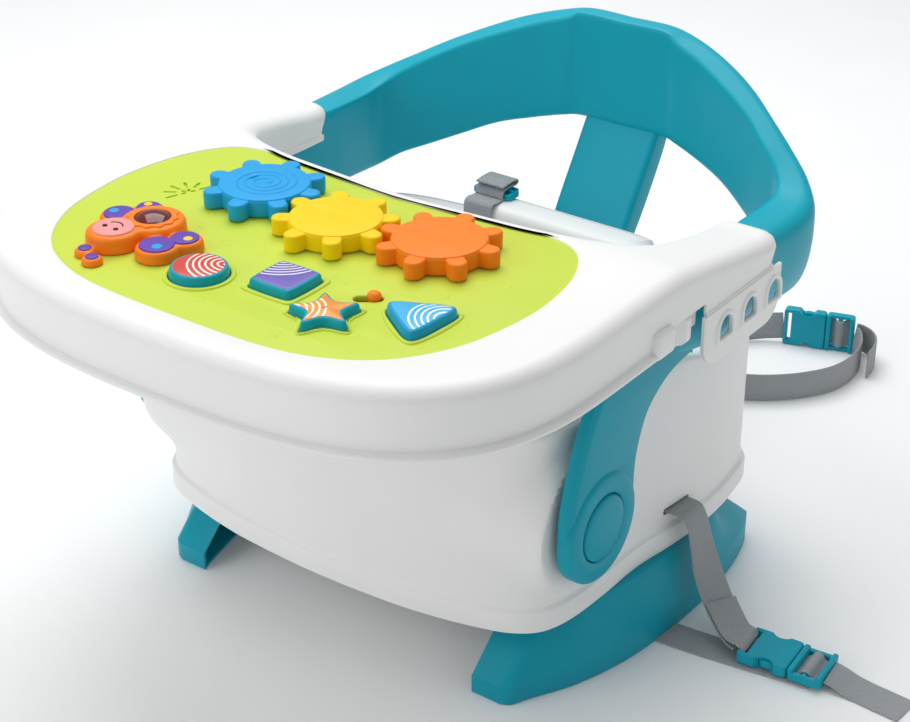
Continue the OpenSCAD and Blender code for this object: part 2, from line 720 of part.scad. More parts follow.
module panel_top() {
    color(lime) difference() {
        union() {
            prism(panel_pts(0), plate_low, panel_z);
            translate([0, 0, panel_z - 1]) linear_extrude(lip_h + 1) openings_2d(button_gap + lip_w);
            for (p = [blue_at, yellow_at, orange_at]) translate([p.x, p.y, plate_low])
                cylinder(r = post_r, h = post_top - plate_low);
            for (p = board_posts) translate([p.x, p.y, board_z]) cylinder(r = 3, h = plate_low - board_z + 1);
            for (p = housing_screws) translate([p.x, p.y, housing_low + housing_t])
                cylinder(r = 4, h = plate_low - housing_low - housing_t + 1);
        }
        translate([0, 0, plate_low - 1]) linear_extrude(panel_t + lip_h + 2)
            openings_2d(button_gap);
        translate([0, 0, plate_low - 1]) linear_extrude(panel_t + 2) {
            translate(switch_at) switch_slot(0);
            sound_slots();
        }
        for (p = housing_screws) translate([p.x, p.y, housing_low])
            cylinder(r = screw_r + screw_fit, h = 16);
    }
}
door_x = [-30, 30];
door_y = [-108, -48];
door_gap = 0.3;
module panel_housing() {
    color(lime) difference() {
        prism(panel_pts(-7), housing_low, plate_low);
        prism(panel_pts(-7 - housing_t), housing_low + housing_t, plate_low + 1);
        box([door_x[0] - door_gap, door_y[0] - door_gap, housing_low - 1],
            [door_x[1] + door_gap, door_y[1] + door_gap, housing_low + housing_t + 1]);
        for (p = housing_screws) translate([p.x, p.y, housing_low - 1])
            cylinder(r = screw_r + screw_fit, h = housing_t + 2);
    }
}
module panel_screws() {
    color("silver") for (p = housing_screws) translate([p.x, p.y, housing_low - 1.8]) {
        cylinder(r = 1.6 * screw_r, h = 1.8);
        cylinder(r = screw_r, h = 14);
    }
}
module battery_door() {
    color(lime) box([door_x[0], door_y[0], housing_low],
        [door_x[1], door_y[1], housing_low + housing_t]);
}
cell_r = 7.1;
cell_l = 50;
module batteries() {
    color("goldenrod") for (i = [-1 : 1]) translate([i * (2 * cell_r + 1),
        door_y[0] + 5, housing_low + housing_t + cell_r]) rotate([-90, 0, 0]) {
            cylinder(r = cell_r, h = cell_l - 1.5);
            cylinder(r = 2.7, h = cell_l);
        }
}
// The board hangs under the buttons, against short posts of the panel
module circuit_board() {
    color("seagreen") difference() {
        intersection() {
            box([-58, -212, board_z - board_t], [130, -130, board_z]);
            prism(panel_pts(-10 - housing_t), board_z - board_t, board_z);
        }
        for (p = housing_screws) translate([p.x, p.y, board_z - board_t - 1])
            cylinder(r = 5, h = board_t + 2);
    }
}
module speaker() {
    color("dimgray") translate([speaker_at.x, speaker_at.y, plate_low - 14]) {
        cylinder(r = 12, h = 8);
        translate([0, 0, 8]) cylinder(r1 = 12, r2 = speaker_r, h = 4);
        translate([0, 0, 12]) cylinder(r = speaker_r, h = 2);
    }
}

// The light-up winged toy that stands on the panel
toy_low = panel_z;
toy_head = [-95, -190];
toy_back = [-86, -165];
wing_lobes = [[-61, -188, 14], [-54, -171, 12], [-112, -168, 13], [-103, -151, 11]];
toy_top = toy_low + 11;
wing_top = toy_low + 8;
lens_r = 11.4;
face_r = 13;
module toy_body() {
    color(orange) difference() {
        union() {
            translate([toy_head.x, toy_head.y, toy_low]) cylinder(r = face_r + 5, h = toy_top - toy_low);
            translate([toy_back.x, toy_back.y, toy_low]) cylinder(r = 21, h = toy_top - toy_low);
            for (w = wing_lobes) translate([w.x, w.y, toy_low]) cylinder(r = w.z, h = wing_top - toy_low);
            for (p = [[-98, -212], [-86, -218]]) translate([p.x, p.y, toy_low])
                cylinder(r = 7, h = 5);
        }
        translate([toy_back.x, toy_back.y, toy_top - 4]) cylinder(r = lens_r, h = 5);
    }
}
module toy_wings() {
    color("#6b4bb0") difference() {
        translate([0, 0, wing_top]) linear_extrude(1) for (w = wing_lobes)
            translate([w.x, w.y]) circle(r = w.z - 3);
        translate([toy_head.x, toy_head.y, 0]) cylinder(r = face_r + 5.3, h = 2 * tray_z);
        translate([toy_back.x, toy_back.y, 0]) cylinder(r = 21.3, h = 2 * tray_z);
    }
}
module toy_face() {
    color("#f5a3a0") translate([toy_head.x, toy_head.y, toy_top]) cylinder(r = face_r, h = 1);
}
lens_rise = 4;
module toy_lens() {
    ball = (pow(lens_r, 2) + pow(lens_rise, 2)) / (2 * lens_rise);
    color("#7a1f1a") translate([toy_back.x, toy_back.y, toy_top]) {
        translate([0, 0, -4]) cylinder(r = lens_r - 0.1, h = 4);
        intersection() {
            translate([0, 0, lens_rise - ball]) sphere(r = ball, $fn = 64);
            cylinder(r = lens_r - 0.1, h = lens_rise + 1);
        }
    }
}

// ---- gears ---------------------------------------------------------------

tooth_tip = 6;
tooth_half = asin(tooth_tip / gear_root);
function tooth_arc(a) = arc((gear_r - tooth_tip) * [cos(a), sin(a)], tooth_tip, a - 90, a + 90, 8);
function root_arc(a) = arc([0, 0], gear_root, a + tooth_half,
    a + 360 / gear_teeth - tooth_half, 3);
dimple_r = 5;
module gear(at, phase, tint) {
    color(tint) translate([at.x, at.y, gear_low]) difference() {
        rotate(phase) linear_extrude(gear_t) polygon([for (k = [0 : gear_teeth - 1]) each
                concat(tooth_arc(k * 360 / gear_teeth), root_arc(k * 360 / gear_teeth))]);
        translate([0, 0, -1]) cylinder(r = post_r + run_gap, h = post_top - gear_low + 2);
        translate([-12, 2, gear_t - 1.5]) cylinder(r = dimple_r, h = 2);
    }
}
// Half a tooth pitch apart along each line of centres, so the teeth mesh at rest
half_tooth = 180 / gear_teeth;
yellow_phase = 35;
blue_phase = half_tooth - gear_angle - (yellow_phase - 180 + gear_angle);
orange_phase = half_tooth + 180 + gear_angle - (yellow_phase - gear_angle);
module blue_gear() { gear(blue_at, blue_phase, "#1ca4e6"); }
module yellow_gear() { gear(yellow_at, yellow_phase, "#ffd400"); }
module orange_gear() { gear(orange_at, orange_phase, orange); }

// ---- buttons and switch --------------------------------------------------

flange_top = plate_low - 0.3;
module button(at, tint) {
    color(tint) translate([at.x, at.y, 0]) {
        translate([0, 0, flange_top - 0.1]) linear_extrude(panel_z + button_h - flange_top + 0.1)
            children(0);
        translate([0, 0, flange_top - flange_t]) linear_extrude(flange_t) children(1);
    }
}
module round_button() { button(round_at, teal) { round_shape(0); round_shape(flange_w); } }
module square_button() { button(square_at, teal) { square_shape(0); square_shape(flange_w); } }
module star_button() { button(star_at, teal) { star_shape(0); star_shape(flange_w); } }
module triangle_button() {
    button(triangle_at, "#1ca4e6") { triangle_shape(0); triangle_shape(flange_w); }
}
dome_r = 5;
module dome(at) {
    color("gainsboro") translate([at.x, at.y, board_z])
        cylinder(r1 = dome_r, r2 = dome_r - 2, h = flange_top - flange_t - board_z);
}
module round_dome() { dome(round_at); }
module square_dome() { dome(square_at); }
module star_dome() { dome(star_at); }
module triangle_dome() { dome(triangle_at); }
knob_r = 4;
module mode_switch() {
    color(orange) translate([switch_at.x, switch_at.y, 0]) {
        translate([0, 0, flange_top - 2]) rotate(switch_angle) translate([-6.5, -6.5, 0])
            cube([13, 13, 2]);
        translate([0, 0, flange_top - 1]) cylinder(r = knob_r - 0.3,
            h = panel_z + 5 - flange_top - 1);
        translate([0, 0, panel_z]) cylinder(r1 = knob_r - 0.3, r2 = knob_r - 2, h = 5);
    }
}

// ---- straps --------------------------------------------------------------

strap_y = 22;
clear_floor = web_t / 2 + 0.2;
// Flat webbing along a route; across gives the direction of its width at each point
module webbing(route, across) {
    n = len(route);
    color(webbing_grey) skin([for (i = [0 : n - 1])
        let (t = route[min(i + 1, n - 1)] - route[max(i - 1, 0)],
            w = across[min(i, len(across) - 1)] / norm(across[min(i, len(across) - 1)]),
            c = cross(t, w),
            u = c / norm(c))
        [route[i] - w * web_w / 2 - u * web_t / 2, route[i] + w * web_w / 2 - u * web_t / 2,
         route[i] + w * web_w / 2 + u * web_t / 2, route[i] - w * web_w / 2 + u * web_t / 2]]);
}
// Buckle halves lie along +X from their own origin, then turn and move as one
module buckle_socket(at, turn, roll_x) {
    color(teal) translate(at) rotate([0, 0, turn]) rotate([roll_x, 0, 0]) difference() {
        translate([0, -buckle_w / 2, -buckle_t / 2]) cube([36, buckle_w, buckle_t]);
        translate([10, -buckle_w / 2 + 3, -buckle_t / 2 + 2]) cube([27, buckle_w - 6, buckle_t - 4]);
        for (s = [-1, 1]) translate([14, s * buckle_w / 2 - 4, -buckle_t / 2 + 2])
            cube([12, 8, buckle_t - 4]);
        translate([3, -web_w / 2 - 1, -buckle_t]) cube([3, web_w + 2, 2 * buckle_t]);
    }
}
module buckle_plug(at, turn, roll_x) {
    prong = buckle_t - 4.6;
    color(teal) translate(at) rotate([0, 0, turn]) rotate([roll_x, 0, 0]) difference() {
        union() {
            translate([36.3, -buckle_w / 2, -buckle_t / 2]) cube([24, buckle_w, buckle_t]);
            for (s = [-1, 0, 1]) translate([14, s * 10.5 - 2, -prong / 2]) cube([23, 4, prong]);
        }
        translate([41, -web_w / 2 - 1, -buckle_t]) cube([5, web_w + 2, 2 * buckle_t]);
        translate([50, -web_w / 2 - 1, -buckle_t]) cube([6, web_w + 2, 2 * buckle_t]);
    }
}
side_buckle_z = 2 * clear_floor + buckle_t / 2;
side_buckle_at = [241, 35, side_buckle_z];
side_buckle_turn = 5;
side_upper = [[170, 49, 85], [184, 50, 84], [189.5, 51, 76], [194, 52, 58], [200, 51, 41],
    [209, 48, 27], [221, 42, 16], [232, 37, 9], [240.5, 35, side_buckle_z]];
side_upper_across = [[0, 1, 0], [0, 1, 0], [0, 1, 0], [0.1, 1, 0], [0.3, 1, 0], [0.35, 1, 0],
    [0.3, 1, 0], [0.1, 1, 0], [-0.09, 1, 0]];
module side_strap_upper() { webbing(side_upper, side_upper_across); }
side_lower = [[-170, 49, 85], [-184, 49, 84], [-189.5, 48, 75], [-193, 44, 58], [-195, 36, 36],
    [-196, 27, 14], [-195.5, 23, 5], [-192.5, 22, 1.8], [-188, 22, 1], [-150, 22, 1],
    [-75, 22, 1], [0, 22, 1],
    [75, 22, 1], [150, 22, 1], [192, 22, 1], [230, 26, 1], [270, 32, 1], [292, 35, 1]];
module side_strap_lower() { webbing(side_lower, [[0, 1, 0]]); }
side_tail = [[301.4, 40.3, side_buckle_z], [308, 41, 5], [316, 41, 2.4], [326, 41, 1],
    [340, 40, 1], [357, 39, 1]];
module side_strap_tail() { webbing(side_tail, [[-0.09, 1, 0], [-0.09, 1, 0], [0, 1, 0]]); }
module side_buckle_socket() { buckle_socket(side_buckle_at, side_buckle_turn, 0); }
module side_buckle_plug() { buckle_plug(side_buckle_at, side_buckle_turn, 0); }

edge_z = web_w / 2 + 0.3;
rear_buckle_at = [50, 446, buckle_w / 2];
rear_buckle_turn = 17;
rear_near = [[30, 174, 84], [30, 186, 83], [31, 205, 74], [33, 235, 52], [36, 268, 32],
    [43, 298, 18], [54, 320, edge_z], [73, 334, edge_z], [91, 346, edge_z], [109, 364, edge_z],
    [124, 388, edge_z], [129, 414, edge_z], [126, 438, edge_z], [119, 454, edge_z],
    [113.5, 459.6, 14], [109, 461.2, 15]];
rear_far = [[-30, 174, 84], [-30, 186, 83], [-31, 205, 74], [-32, 235, 52], [-32, 268, 32],
    [-30, 298, 18], [-25, 325, edge_z], [-15, 355, edge_z], [0, 388, edge_z], [18, 420, edge_z],
    [34, 437, 14], [49.8, 445.9, 16]];
rear_tail = [[107.2, 465.9, 15], [114, 467.6, 14], [123, 465.5, edge_z], [131, 457, edge_z],
    [136, 444, edge_z], [138, 428, edge_z]];
upright = [[0, 0, 1]];
module rear_strap_near() { webbing(rear_near, upright); }
module rear_strap_far() { webbing(rear_far, upright); }
module rear_strap_tail() { webbing(rear_tail, upright); }
module rear_buckle_socket() { buckle_socket(rear_buckle_at, rear_buckle_turn, 90); }
module rear_buckle_plug() { buckle_plug(rear_buckle_at, rear_buckle_turn, 90); }

waist = [[-66, 155, 142], [-66, 151.8, 143], [-66, 150.2, 149], [-66, 150.2, 172],
    [-66, 150.2, 196], [-66, 150.9, 205.4], [-66, 152.6, 207.6], [-66, 156, 208.3],
    [-66, 161, 207.6], [-66, 168, 207.6]];
module waist_strap() { webbing(waist, [[1, 0, 0]]); }
module waist_adjuster() {
    color(teal) difference() {
        box([-waist_x - buckle_w / 2, 168, hump_top + 0.3], [-waist_x + buckle_w / 2, 182, hump_top + 7]);
        for (y = [170, 176]) box([-waist_x - web_w / 2 - 1, y, hump_top], [-waist_x + web_w / 2 + 1,
            y + 4, hump_top + 8]);
    }
}

// ---- pieces --------------------------------------------------------------

base_shell();
seat_pan();
base_underside();
left_foot();
right_foot();
foot_screws();
left_hub_pin();
right_hub_pin();
left_arm();
right_arm();
left_hub_button();
right_hub_button();
left_hub_spring();
right_hub_spring();
back_ring();
back_strut();
frame_screws();
tray_shell();
left_tray_latch();
right_tray_latch();
panel_top();
panel_housing();
panel_screws();
battery_door();
batteries();
circuit_board();
speaker();
toy_body();
toy_wings();
toy_face();
toy_lens();
blue_gear();
yellow_gear();
orange_gear();
round_button();
square_button();
star_button();
triangle_button();
round_dome();
square_dome();
star_dome();
triangle_dome();
mode_switch();
side_strap_upper();
side_strap_lower();
side_strap_tail();
side_buckle_socket();
side_buckle_plug();
rear_strap_near();
rear_strap_far();
rear_strap_tail();
rear_buckle_socket();
rear_buckle_plug();
waist_strap();
waist_adjuster();
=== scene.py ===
# Baby floor seat with a play tray, finished as it leaves the mould and the sewing bench.
# Metres, +Z up, the child faces -Y. Route and outline points are written in millimetres.
import math

import bmesh
import bpy
from mathutils import Matrix, Vector


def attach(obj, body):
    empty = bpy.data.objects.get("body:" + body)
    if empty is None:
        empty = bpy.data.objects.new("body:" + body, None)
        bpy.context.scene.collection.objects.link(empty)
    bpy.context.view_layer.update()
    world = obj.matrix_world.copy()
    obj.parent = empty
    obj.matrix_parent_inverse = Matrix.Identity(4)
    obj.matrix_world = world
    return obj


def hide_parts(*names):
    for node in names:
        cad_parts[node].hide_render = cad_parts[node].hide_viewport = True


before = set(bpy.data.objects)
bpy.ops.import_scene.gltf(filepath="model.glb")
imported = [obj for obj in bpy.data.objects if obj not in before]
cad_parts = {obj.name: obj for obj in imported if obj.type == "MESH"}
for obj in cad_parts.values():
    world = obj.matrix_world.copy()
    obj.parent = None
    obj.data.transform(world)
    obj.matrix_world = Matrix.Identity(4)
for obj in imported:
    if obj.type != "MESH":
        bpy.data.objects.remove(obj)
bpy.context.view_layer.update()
bpy.ops.object.select_all(action="DESELECT")
MM = 0.001

# ---- Camera and studio -----------------------------------------------------
# A tripod camera in front of the seat and to its right, looking down on the tray. The
# studio is a pale sweep under two large soft lights and an even white surround.
bpy.ops.object.camera_add(
    location=(0.729, -0.960, 0.821),
    rotation=(math.radians(61.3), 0, math.radians(36.3)),
)
camera = bpy.context.object
camera.data.sensor_width = 36
camera.data.lens = 79.12
bpy.context.scene.camera = camera
bpy.context.scene.view_settings.view_transform = "Standard"


def linear(hex_colour):
    """An sRGB hex colour as the linear values that shaders take."""
    parts = [int(hex_colour[i : i + 2], 16) / 255 for i in (1, 3, 5)]
    return [c / 12.92 if c <= 0.04045 else ((c + 0.055) / 1.055) ** 2.4 for c in parts] + [1]


def tune(node, inputs):
    """Sets a node's inputs by name."""
    for key, value in inputs.items():
        node.inputs[key].default_value = value


world = bpy.data.worlds.new("white_surround")
world.use_nodes = True
tune(world.node_tree.nodes["Background"], {"Color": linear("#fbfdff"), "Strength": 0.46})
bpy.context.scene.world = world


def soft_light(name, place, aim, width, watts):
    """A large square light that looks from its place to its aim."""
    bpy.ops.object.light_add(type="AREA", location=place)
    light = bpy.context.object
    light.name = name
    light.data.size = width
    light.data.energy = watts
    light.rotation_euler = (Vector(aim) - Vector(place)).to_track_quat("-Z", "Y").to_euler()


soft_light("overhead_light", (-0.5, 0.5, 1.9), (0, 0, 0.2), 1.6, 27)
soft_light("front_light", (-0.9, -1.7, 1.2), (0, 0, 0.2), 1.4, 11)

bpy.ops.mesh.primitive_grid_add(x_subdivisions=8, y_subdivisions=8, size=16)
floor = bpy.context.object
floor.name = "floor"


def add_node(material, kind, settings=None, links=None):
    """One shader node with its settings, and links from other nodes' outputs to its inputs."""
    node = material.node_tree.nodes.new(kind)
    for key, value in (settings or {}).items():
        if isinstance(key, str) and hasattr(node, key):
            setattr(node, key, value)
        else:
            node.inputs[key].default_value = value
    for key, (source, output) in (links or {}).items():
        material.node_tree.links.new(source.outputs[output], node.inputs[key])
    return node


def new_material(name):
    """A material with its main shader node and its object coordinates."""
    material = bpy.data.materials.new(name)
    material.use_nodes = True
    shader = material.node_tree.nodes["Principled BSDF"]
    place = add_node(material, "ShaderNodeTexCoord")
    return material, shader, place


def join_nodes(material, source, output, target, key):
    """Links one node's output to another's input."""
    material.node_tree.links.new(source.outputs[output], target.inputs[key])


def noise(material, place, scale, detail=2):
    """Soft noise over the object's own coordinates."""
    settings = {"Scale": scale, "Detail": detail}
    return add_node(material, "ShaderNodeTexNoise", settings, {"Vector": (place, "Object")})


def blend(material, first, second, source):
    """Mixes two hex colours by another node's output."""
    settings = {"data_type": "RGBA", 6: linear(first), 7: linear(second)}
    return add_node(material, "ShaderNodeMix", settings, {0: source})


# The sweep is matt painted board: it shows nothing but a faint roller mottle.
painted_board, board_shader, board_place = new_material("matt_painted_board")
mottle = noise(painted_board, board_place, 9)
board_tone = blend(painted_board, "#fafafa", "#ffffff", (mottle, "Fac"))
join_nodes(painted_board, board_tone, 2, board_shader, "Base Color")
tune(board_shader, {"Roughness": 0.9})
floor.data.materials.append(painted_board)


def show_on(piece, body, slot, material, *nodes):
    """The piece rides on its body, takes the given material as its finish and stands for its nodes; the slot
    is not used.
    """
    if material:
        piece.data.materials.clear()
        piece.data.materials.append(material)
    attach(piece, body)
    if nodes:
        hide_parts(*nodes)


# ---- Webbing straps --------------------------------------------------------
# Flat woven polypropylene, 25 mm wide, threaded through slots in the base. It lies limp
# on the floor, and its ends are folded back and sewn.
web_w = 25
web_t = 1.6


def on_curve(a, b, c, d, t):
    """Point on the smooth curve between b and c."""
    return 0.5 * (2 * b + (c - a) * t + (2 * a - 5 * b + 4 * c - d) * t * t + (3 * b - a - 3 * c + d) * t**3)


def through(points, steps, closed=False):
    """Smooth curve through the points, with some steps between each two."""
    p = [Vector(q) for q in points]
    n = len(p)
    spans = range(n if closed else n - 1)
    at = (lambda i: p[i % n]) if closed else (lambda i: p[min(max(i, 0), n - 1)])
    found = [on_curve(at(i - 1), at(i), at(i + 1), at(i + 2), s / steps) for i in spans for s in range(steps)]
    return found if closed else found + [p[-1]]


def even_steps(points, step):
    """Points an even step apart along the line, each with the number of its span."""
    reach = [0]
    for a, b in zip(points, points[1:]):
        reach.append(reach[-1] + (b - a).length)
    count = max(2, round(reach[-1] / step))
    found = []
    i = 0
    for k in range(count + 1):
        want = reach[-1] * k / count
        while i < len(points) - 2 and reach[i + 1] < want:
            i += 1
        share = (want - reach[i]) / max(reach[i + 1] - reach[i], 1e-9)
        found.append((points[i].lerp(points[i + 1], min(share, 1)), i))
    return found


# One cross rib of the weave every 2 mm, and the rounded selvedge at both edges.
rib = 2.0
rib_dip = 0.74
web_section = [(-0.5, 0), (-0.49, 0.34), (-0.46, 0.5), (-0.2, 0.46)]
web_section += [(0, 0.48), (0.2, 0.46), (0.46, 0.5), (0.49, 0.34)]
web_section += [(-x, -y) for x, y in web_section]


def focus(piece):
    """Makes the piece active and the only one selected."""
    bpy.ops.object.select_all(action="DESELECT")
    bpy.context.view_layer.objects.active = piece
    piece.select_set(True)


def add_object(name, data):
    """A new object in the scene, active and selected."""
    piece = bpy.data.objects.new(name, data)
    bpy.context.collection.objects.link(piece)
    focus(piece)
    return piece


def soften(piece, degrees=35):
    """Smooth shading, with creases only where faces meet more sharply."""
    focus(piece)
    bpy.ops.object.shade_smooth_by_angle(angle=math.radians(degrees))
    piece.select_set(False)
    return piece


def webbing(name, route, across):
    """A strap along a route in millimetres; across is its width's direction, point by point."""
    steps = 12
    widths = [Vector(across[min(i, len(across) - 1)]).normalized() for i in range(len(route))]
    turns = through(widths, steps)
    centre = even_steps(through(route, steps), rib / 2)
    mesh = bpy.data.meshes.new(name)
    rows = []
    for i, (p, span) in enumerate(centre):
        ahead = centre[min(i + 1, len(centre) - 1)][0] - centre[max(i - 1, 0)][0]
        w = turns[span]
        u = ahead.cross(w).normalized()
        w = u.cross(ahead).normalized()
        swell = web_t * (1 if i % 2 else rib_dip)
        rows.append([(p + w * x * web_w + u * y * swell) * MM for x, y in web_section])
    n = len(web_section)
    last = (len(rows) - 1) * n
    faces = []
    for k in range(0, last, n):
        faces += [(k + i, k + (i + 1) % n, k + n + (i + 1) % n, k + n + i) for i in range(n)]
    faces += [tuple(range(n))[::-1], tuple(range(last, last + n))]
    mesh.from_pydata([v for row in rows for v in row], [], faces)
    layer = mesh.uv_layers.new(name="UVMap")
    for corner, loop in enumerate(mesh.loops):
        row, i = divmod(loop.vertex_index, n)
        layer.data[corner].uv = (row * rib / 2 * MM, (web_section[i][0] + 0.5) * web_w * MM)
    mesh.validate()
    return soften(add_object(name, mesh), 50), [p * MM for p, span in centre]


def maths(material, operation, *values):
    """Arithmetic on numbers and on nodes' outputs, which come as pairs."""
    settings = {"operation": operation}
    settings.update({i: v for i, v in enumerate(values) if not isinstance(v, tuple)})
    links = {i: v for i, v in enumerate(values) if isinstance(v, tuple)}
    return add_node(material, "ShaderNodeMath", settings, links)


def waves(material, source, spacing):
    """A sine wave over a node's output, one cycle for each spacing in millimetres."""
    turns = maths(material, "MULTIPLY", source, math.tau / (spacing * MM))
    return maths(material, "SINE", (turns, 0))


def stretch(material, source, old, new=(0, 1)):
    """Maps a range of a node's output onto a new range."""
    settings = {"From Min": old[0], "From Max": old[1], "To Min": new[0], "To Max": new[1]}
    return add_node(material, "ShaderNodeMapRange", settings, {"Value": source})


def relief(material, shader, source, strength, height):
    """Raises the surface by a node's output, up to a height in millimetres."""
    settings = {"Strength": strength, "Distance": height * MM}
    bump = add_node(material, "ShaderNodeBump", settings, {"Height": source})
    join_nodes(material, bump, "Normal", shader, "Normal")


# Polypropylene tape, plain woven: grey filament yarn in ribs across the tape, each rib broken
# into stitches along it, matt with a slight filament sheen. The stitches are painted lighter on
# their crests and darker in the dips between them, as painted light and shade.
tape, tape_shader, tape_place = new_material("woven_polypropylene_tape")
tape_parts = add_node(tape, "ShaderNodeSeparateXYZ", {}, {0: (tape_place, "UV")})
rib_wave = waves(tape, (tape_parts, "X"), rib)
yarn_wave = waves(tape, (tape_parts, "Y"), 1.56)
stitches = maths(tape, "MULTIPLY", (rib_wave, 0), (yarn_wave, 0))
lit = stretch(tape, (stitches, 0), (-1, 1))
# The yarn's grey runs from painted shade in the dips to painted light on the crests.
weave_shade_tone = blend(tape, "#6c7074", "#c6c9cc", (lit, "Result"))
over_tone = {"data_type": "RGBA", 0: 0.25, 7: linear("#a0a3a6")}
tape_tone = add_node(tape, "ShaderNodeMix", over_tone, {6: (weave_shade_tone, 2)})
join_nodes(tape, tape_tone, 2, tape_shader, "Base Color")
tape_height = maths(tape, "ADD", (lit, "Result"), (noise(tape, tape_place, 260, 3), "Fac"))
relief(tape, tape_shader, (tape_height, 0), 0.8, 0.5)
tune(tape_shader, {"Roughness": 0.78, "Sheen Weight": 0.25})

# The routes run from the slots in the base over the floor to the buckles.
buckle_t = 9
floor_gap = web_t / 2 + 0.2
side_buckle_z = 2 * floor_gap + buckle_t / 2
side_upper = [(170, 49, 85), (184, 50, 84), (189.5, 51, 76), (194, 52, 58), (200, 51, 41)]
side_upper += [(209, 48, 27), (221, 42, 16), (232, 37, 9), (240.5, 35, side_buckle_z)]
side_upper_across = [(0, 1, 0), (0, 1, 0), (0, 1, 0), (0.1, 1, 0), (0.3, 1, 0), (0.35, 1, 0)]
side_upper_across += [(0.3, 1, 0), (0.1, 1, 0), (-0.09, 1, 0)]
side_lower = [
    (-170, 49, 85), (-184, 49, 84), (-189.5, 48, 75), (-193, 44, 58), (-195, 36, 36),
    (-196, 27, 14), (-195.5, 23, 5), (-192.5, 22, 1.8), (-188, 22, 1), (-150, 22, 1),
    (-75, 22, 1), (0, 22, 1), (75, 22, 1), (150, 22, 1), (192, 22, 1), (230, 26, 1),
    (270, 32, 1), (292, 35, 1),
]
side_tail = [(301.4, 40.3, side_buckle_z), (308, 41, 5), (316, 41, 2.4), (326, 41, 1)]
side_tail += [(340, 40, 1), (357, 39, 1)]
tail_across = [(-0.09, 1, 0), (-0.09, 1, 0), (0, 1, 0)]
edge_z = web_w / 2 + 0.3
rear_near = [
    (30, 174, 84), (30, 186, 83), (31, 205, 74), (33, 235, 52), (36, 268, 32), (43, 298, 18),
    (54, 320, edge_z), (73, 334, edge_z), (91, 346, edge_z), (109, 364, edge_z),
    (124, 388, edge_z), (129, 414, edge_z), (126, 438, edge_z), (119, 454, edge_z),
    (113.5, 459.6, 14), (109, 461.2, 15),
]
rear_far = [
    (-30, 174, 84), (-30, 186, 83), (-31, 205, 74), (-32, 235, 52), (-32, 268, 32),
    (-30, 298, 18), (-25, 325, edge_z), (-15, 355, edge_z), (0, 388, edge_z),
    (18, 420, edge_z), (34, 437, 14), (49.8, 445.9, 16),
]
rear_tail = [(107.2, 465.9, 15), (114, 467.6, 14), (123, 465.5, edge_z), (131, 457, edge_z)]
rear_tail += [(136, 444, edge_z), (138, 428, edge_z)]
waist_x = 66
waist_line = [(155, 142), (151.8, 143), (150.2, 149), (150.2, 172), (150.2, 196)]
waist_line += [(150.9, 205.4), (152.6, 207.6), (156, 208.3), (161, 207.6), (168, 207.6)]
waist = [(-waist_x, y, z) for y, z in waist_line]
straps = [
    ("side_strap_lower", side_lower, [(0, 1, 0)]),
    ("side_strap_upper", side_upper, side_upper_across),
    ("side_strap_tail", side_tail, tail_across),
    ("rear_strap_near", rear_near, [(0, 0, 1)]),
    ("rear_strap_far", rear_far, [(0, 0, 1)]),
    ("rear_strap_tail", rear_tail, [(0, 0, 1)]),
    ("waist_strap", waist, [(1, 0, 0)]),
]
strap_pieces = {}
strap_paths = {}
for name, route, across in straps:
    strap_pieces[name], strap_paths[name] = webbing("woven_" + name, route, across)
    show_on(strap_pieces[name], "seat", "webbing", tape, name)


# ---- Seat base -------------------------------------------------------------
# The bucket is one injection moulding in white polypropylene: a wall with a flared band
# round its foot, flat pads for the hubs, strap slots and a ledge for the strut.
base_half_w = 176
base_front = 124
base_back = 180
band_low = 56
band_top = 72
band_out = 3
lip_front = 168
side_top = 199
lip_back = 190
hump_rise = 16
hump_half = 75
base_wall = 3
hub_y = -61.5
hub_z = 129
pad_x = 168.7
pad_r = 46.2
base_half = [
    (0, -1), (0.32, -0.98), (0.51, -0.945), (0.67, -0.895), (0.79, -0.84), (0.87, -0.765),
    (0.915, -0.665), (0.94, -0.5), (0.95, -0.25), (0.955, 0.04), (0.99, 0.28), (1, 0.5),
    (0.985, 0.68), (0.94, 0.85), (0.78, 0.95), (0.45, 0.995), (0, 1),
]


def mirrored(half):
    """A right-hand half outline with its mirror image."""
    return half + [(-x, y) for x, y in half[::-1] if abs(x) > 0.01]


def base_outline(grow, steps=8):
    """The base wall's plan, grown outwards."""
    points = [
        (x * (base_half_w + grow), y * ((base_front if y < 0 else base_back) + grow), 0)
        for x, y in mirrored(base_half)
    ]
    return through(points, steps, closed=True)


def ease(value):
    """A smooth step from 0 to 1."""
    t = min(max(value, 0), 1)
    return t * t * (3 - 2 * t)


def lip_height(x, y):
    """Height of the seat's upper edge: a dip for the legs, high sides, a raised middle behind."""
    slope = min(max((y + 0.3 * base_front) / (0.5 * base_back + 0.3 * base_front), 0), 1)
    hump = ease((hump_half + 8 - abs(x)) / 16) * ease((y - 115) / 12)
    middle = lip_front + (lip_back - lip_front) * (0.6 * slope + 0.4 * ease(slope))
    side = lip_front + (side_top - lip_front) * ease((abs(x) - 60) / 52)
    side += (middle - side) * ease((y - 45) / 45)
    return max(middle, side) + hump_rise * hump


def lay_verts(piece, indices, points):
    """Moves the vertices onto points given in millimetres."""
    mesh = bmesh.from_edit_mesh(piece.data)
    mesh.verts.ensure_lookup_table()
    for i, point in zip(indices, points):
        mesh.verts[i].co = Vector(point) * MM


def select_verts(piece, indices):
    """Selects only these vertices and the edges between them."""
    bpy.ops.mesh.select_all(action="DESELECT")
    mesh = bmesh.from_edit_mesh(piece.data)
    mesh.verts.ensure_lookup_table()
    for i in indices:
        mesh.verts[i].select = True
    mesh.select_flush(True)


def close_up(piece, weld=False):
    """Leaves edit mode with every face pointing outwards and nothing selected."""
    bpy.ops.mesh.select_all(action="SELECT")
    if weld:
        bpy.ops.mesh.remove_doubles(threshold=1e-6)
    bpy.ops.mesh.normals_make_consistent(inside=False)
    bpy.ops.object.mode_set(mode="OBJECT")
    piece.select_set(False)


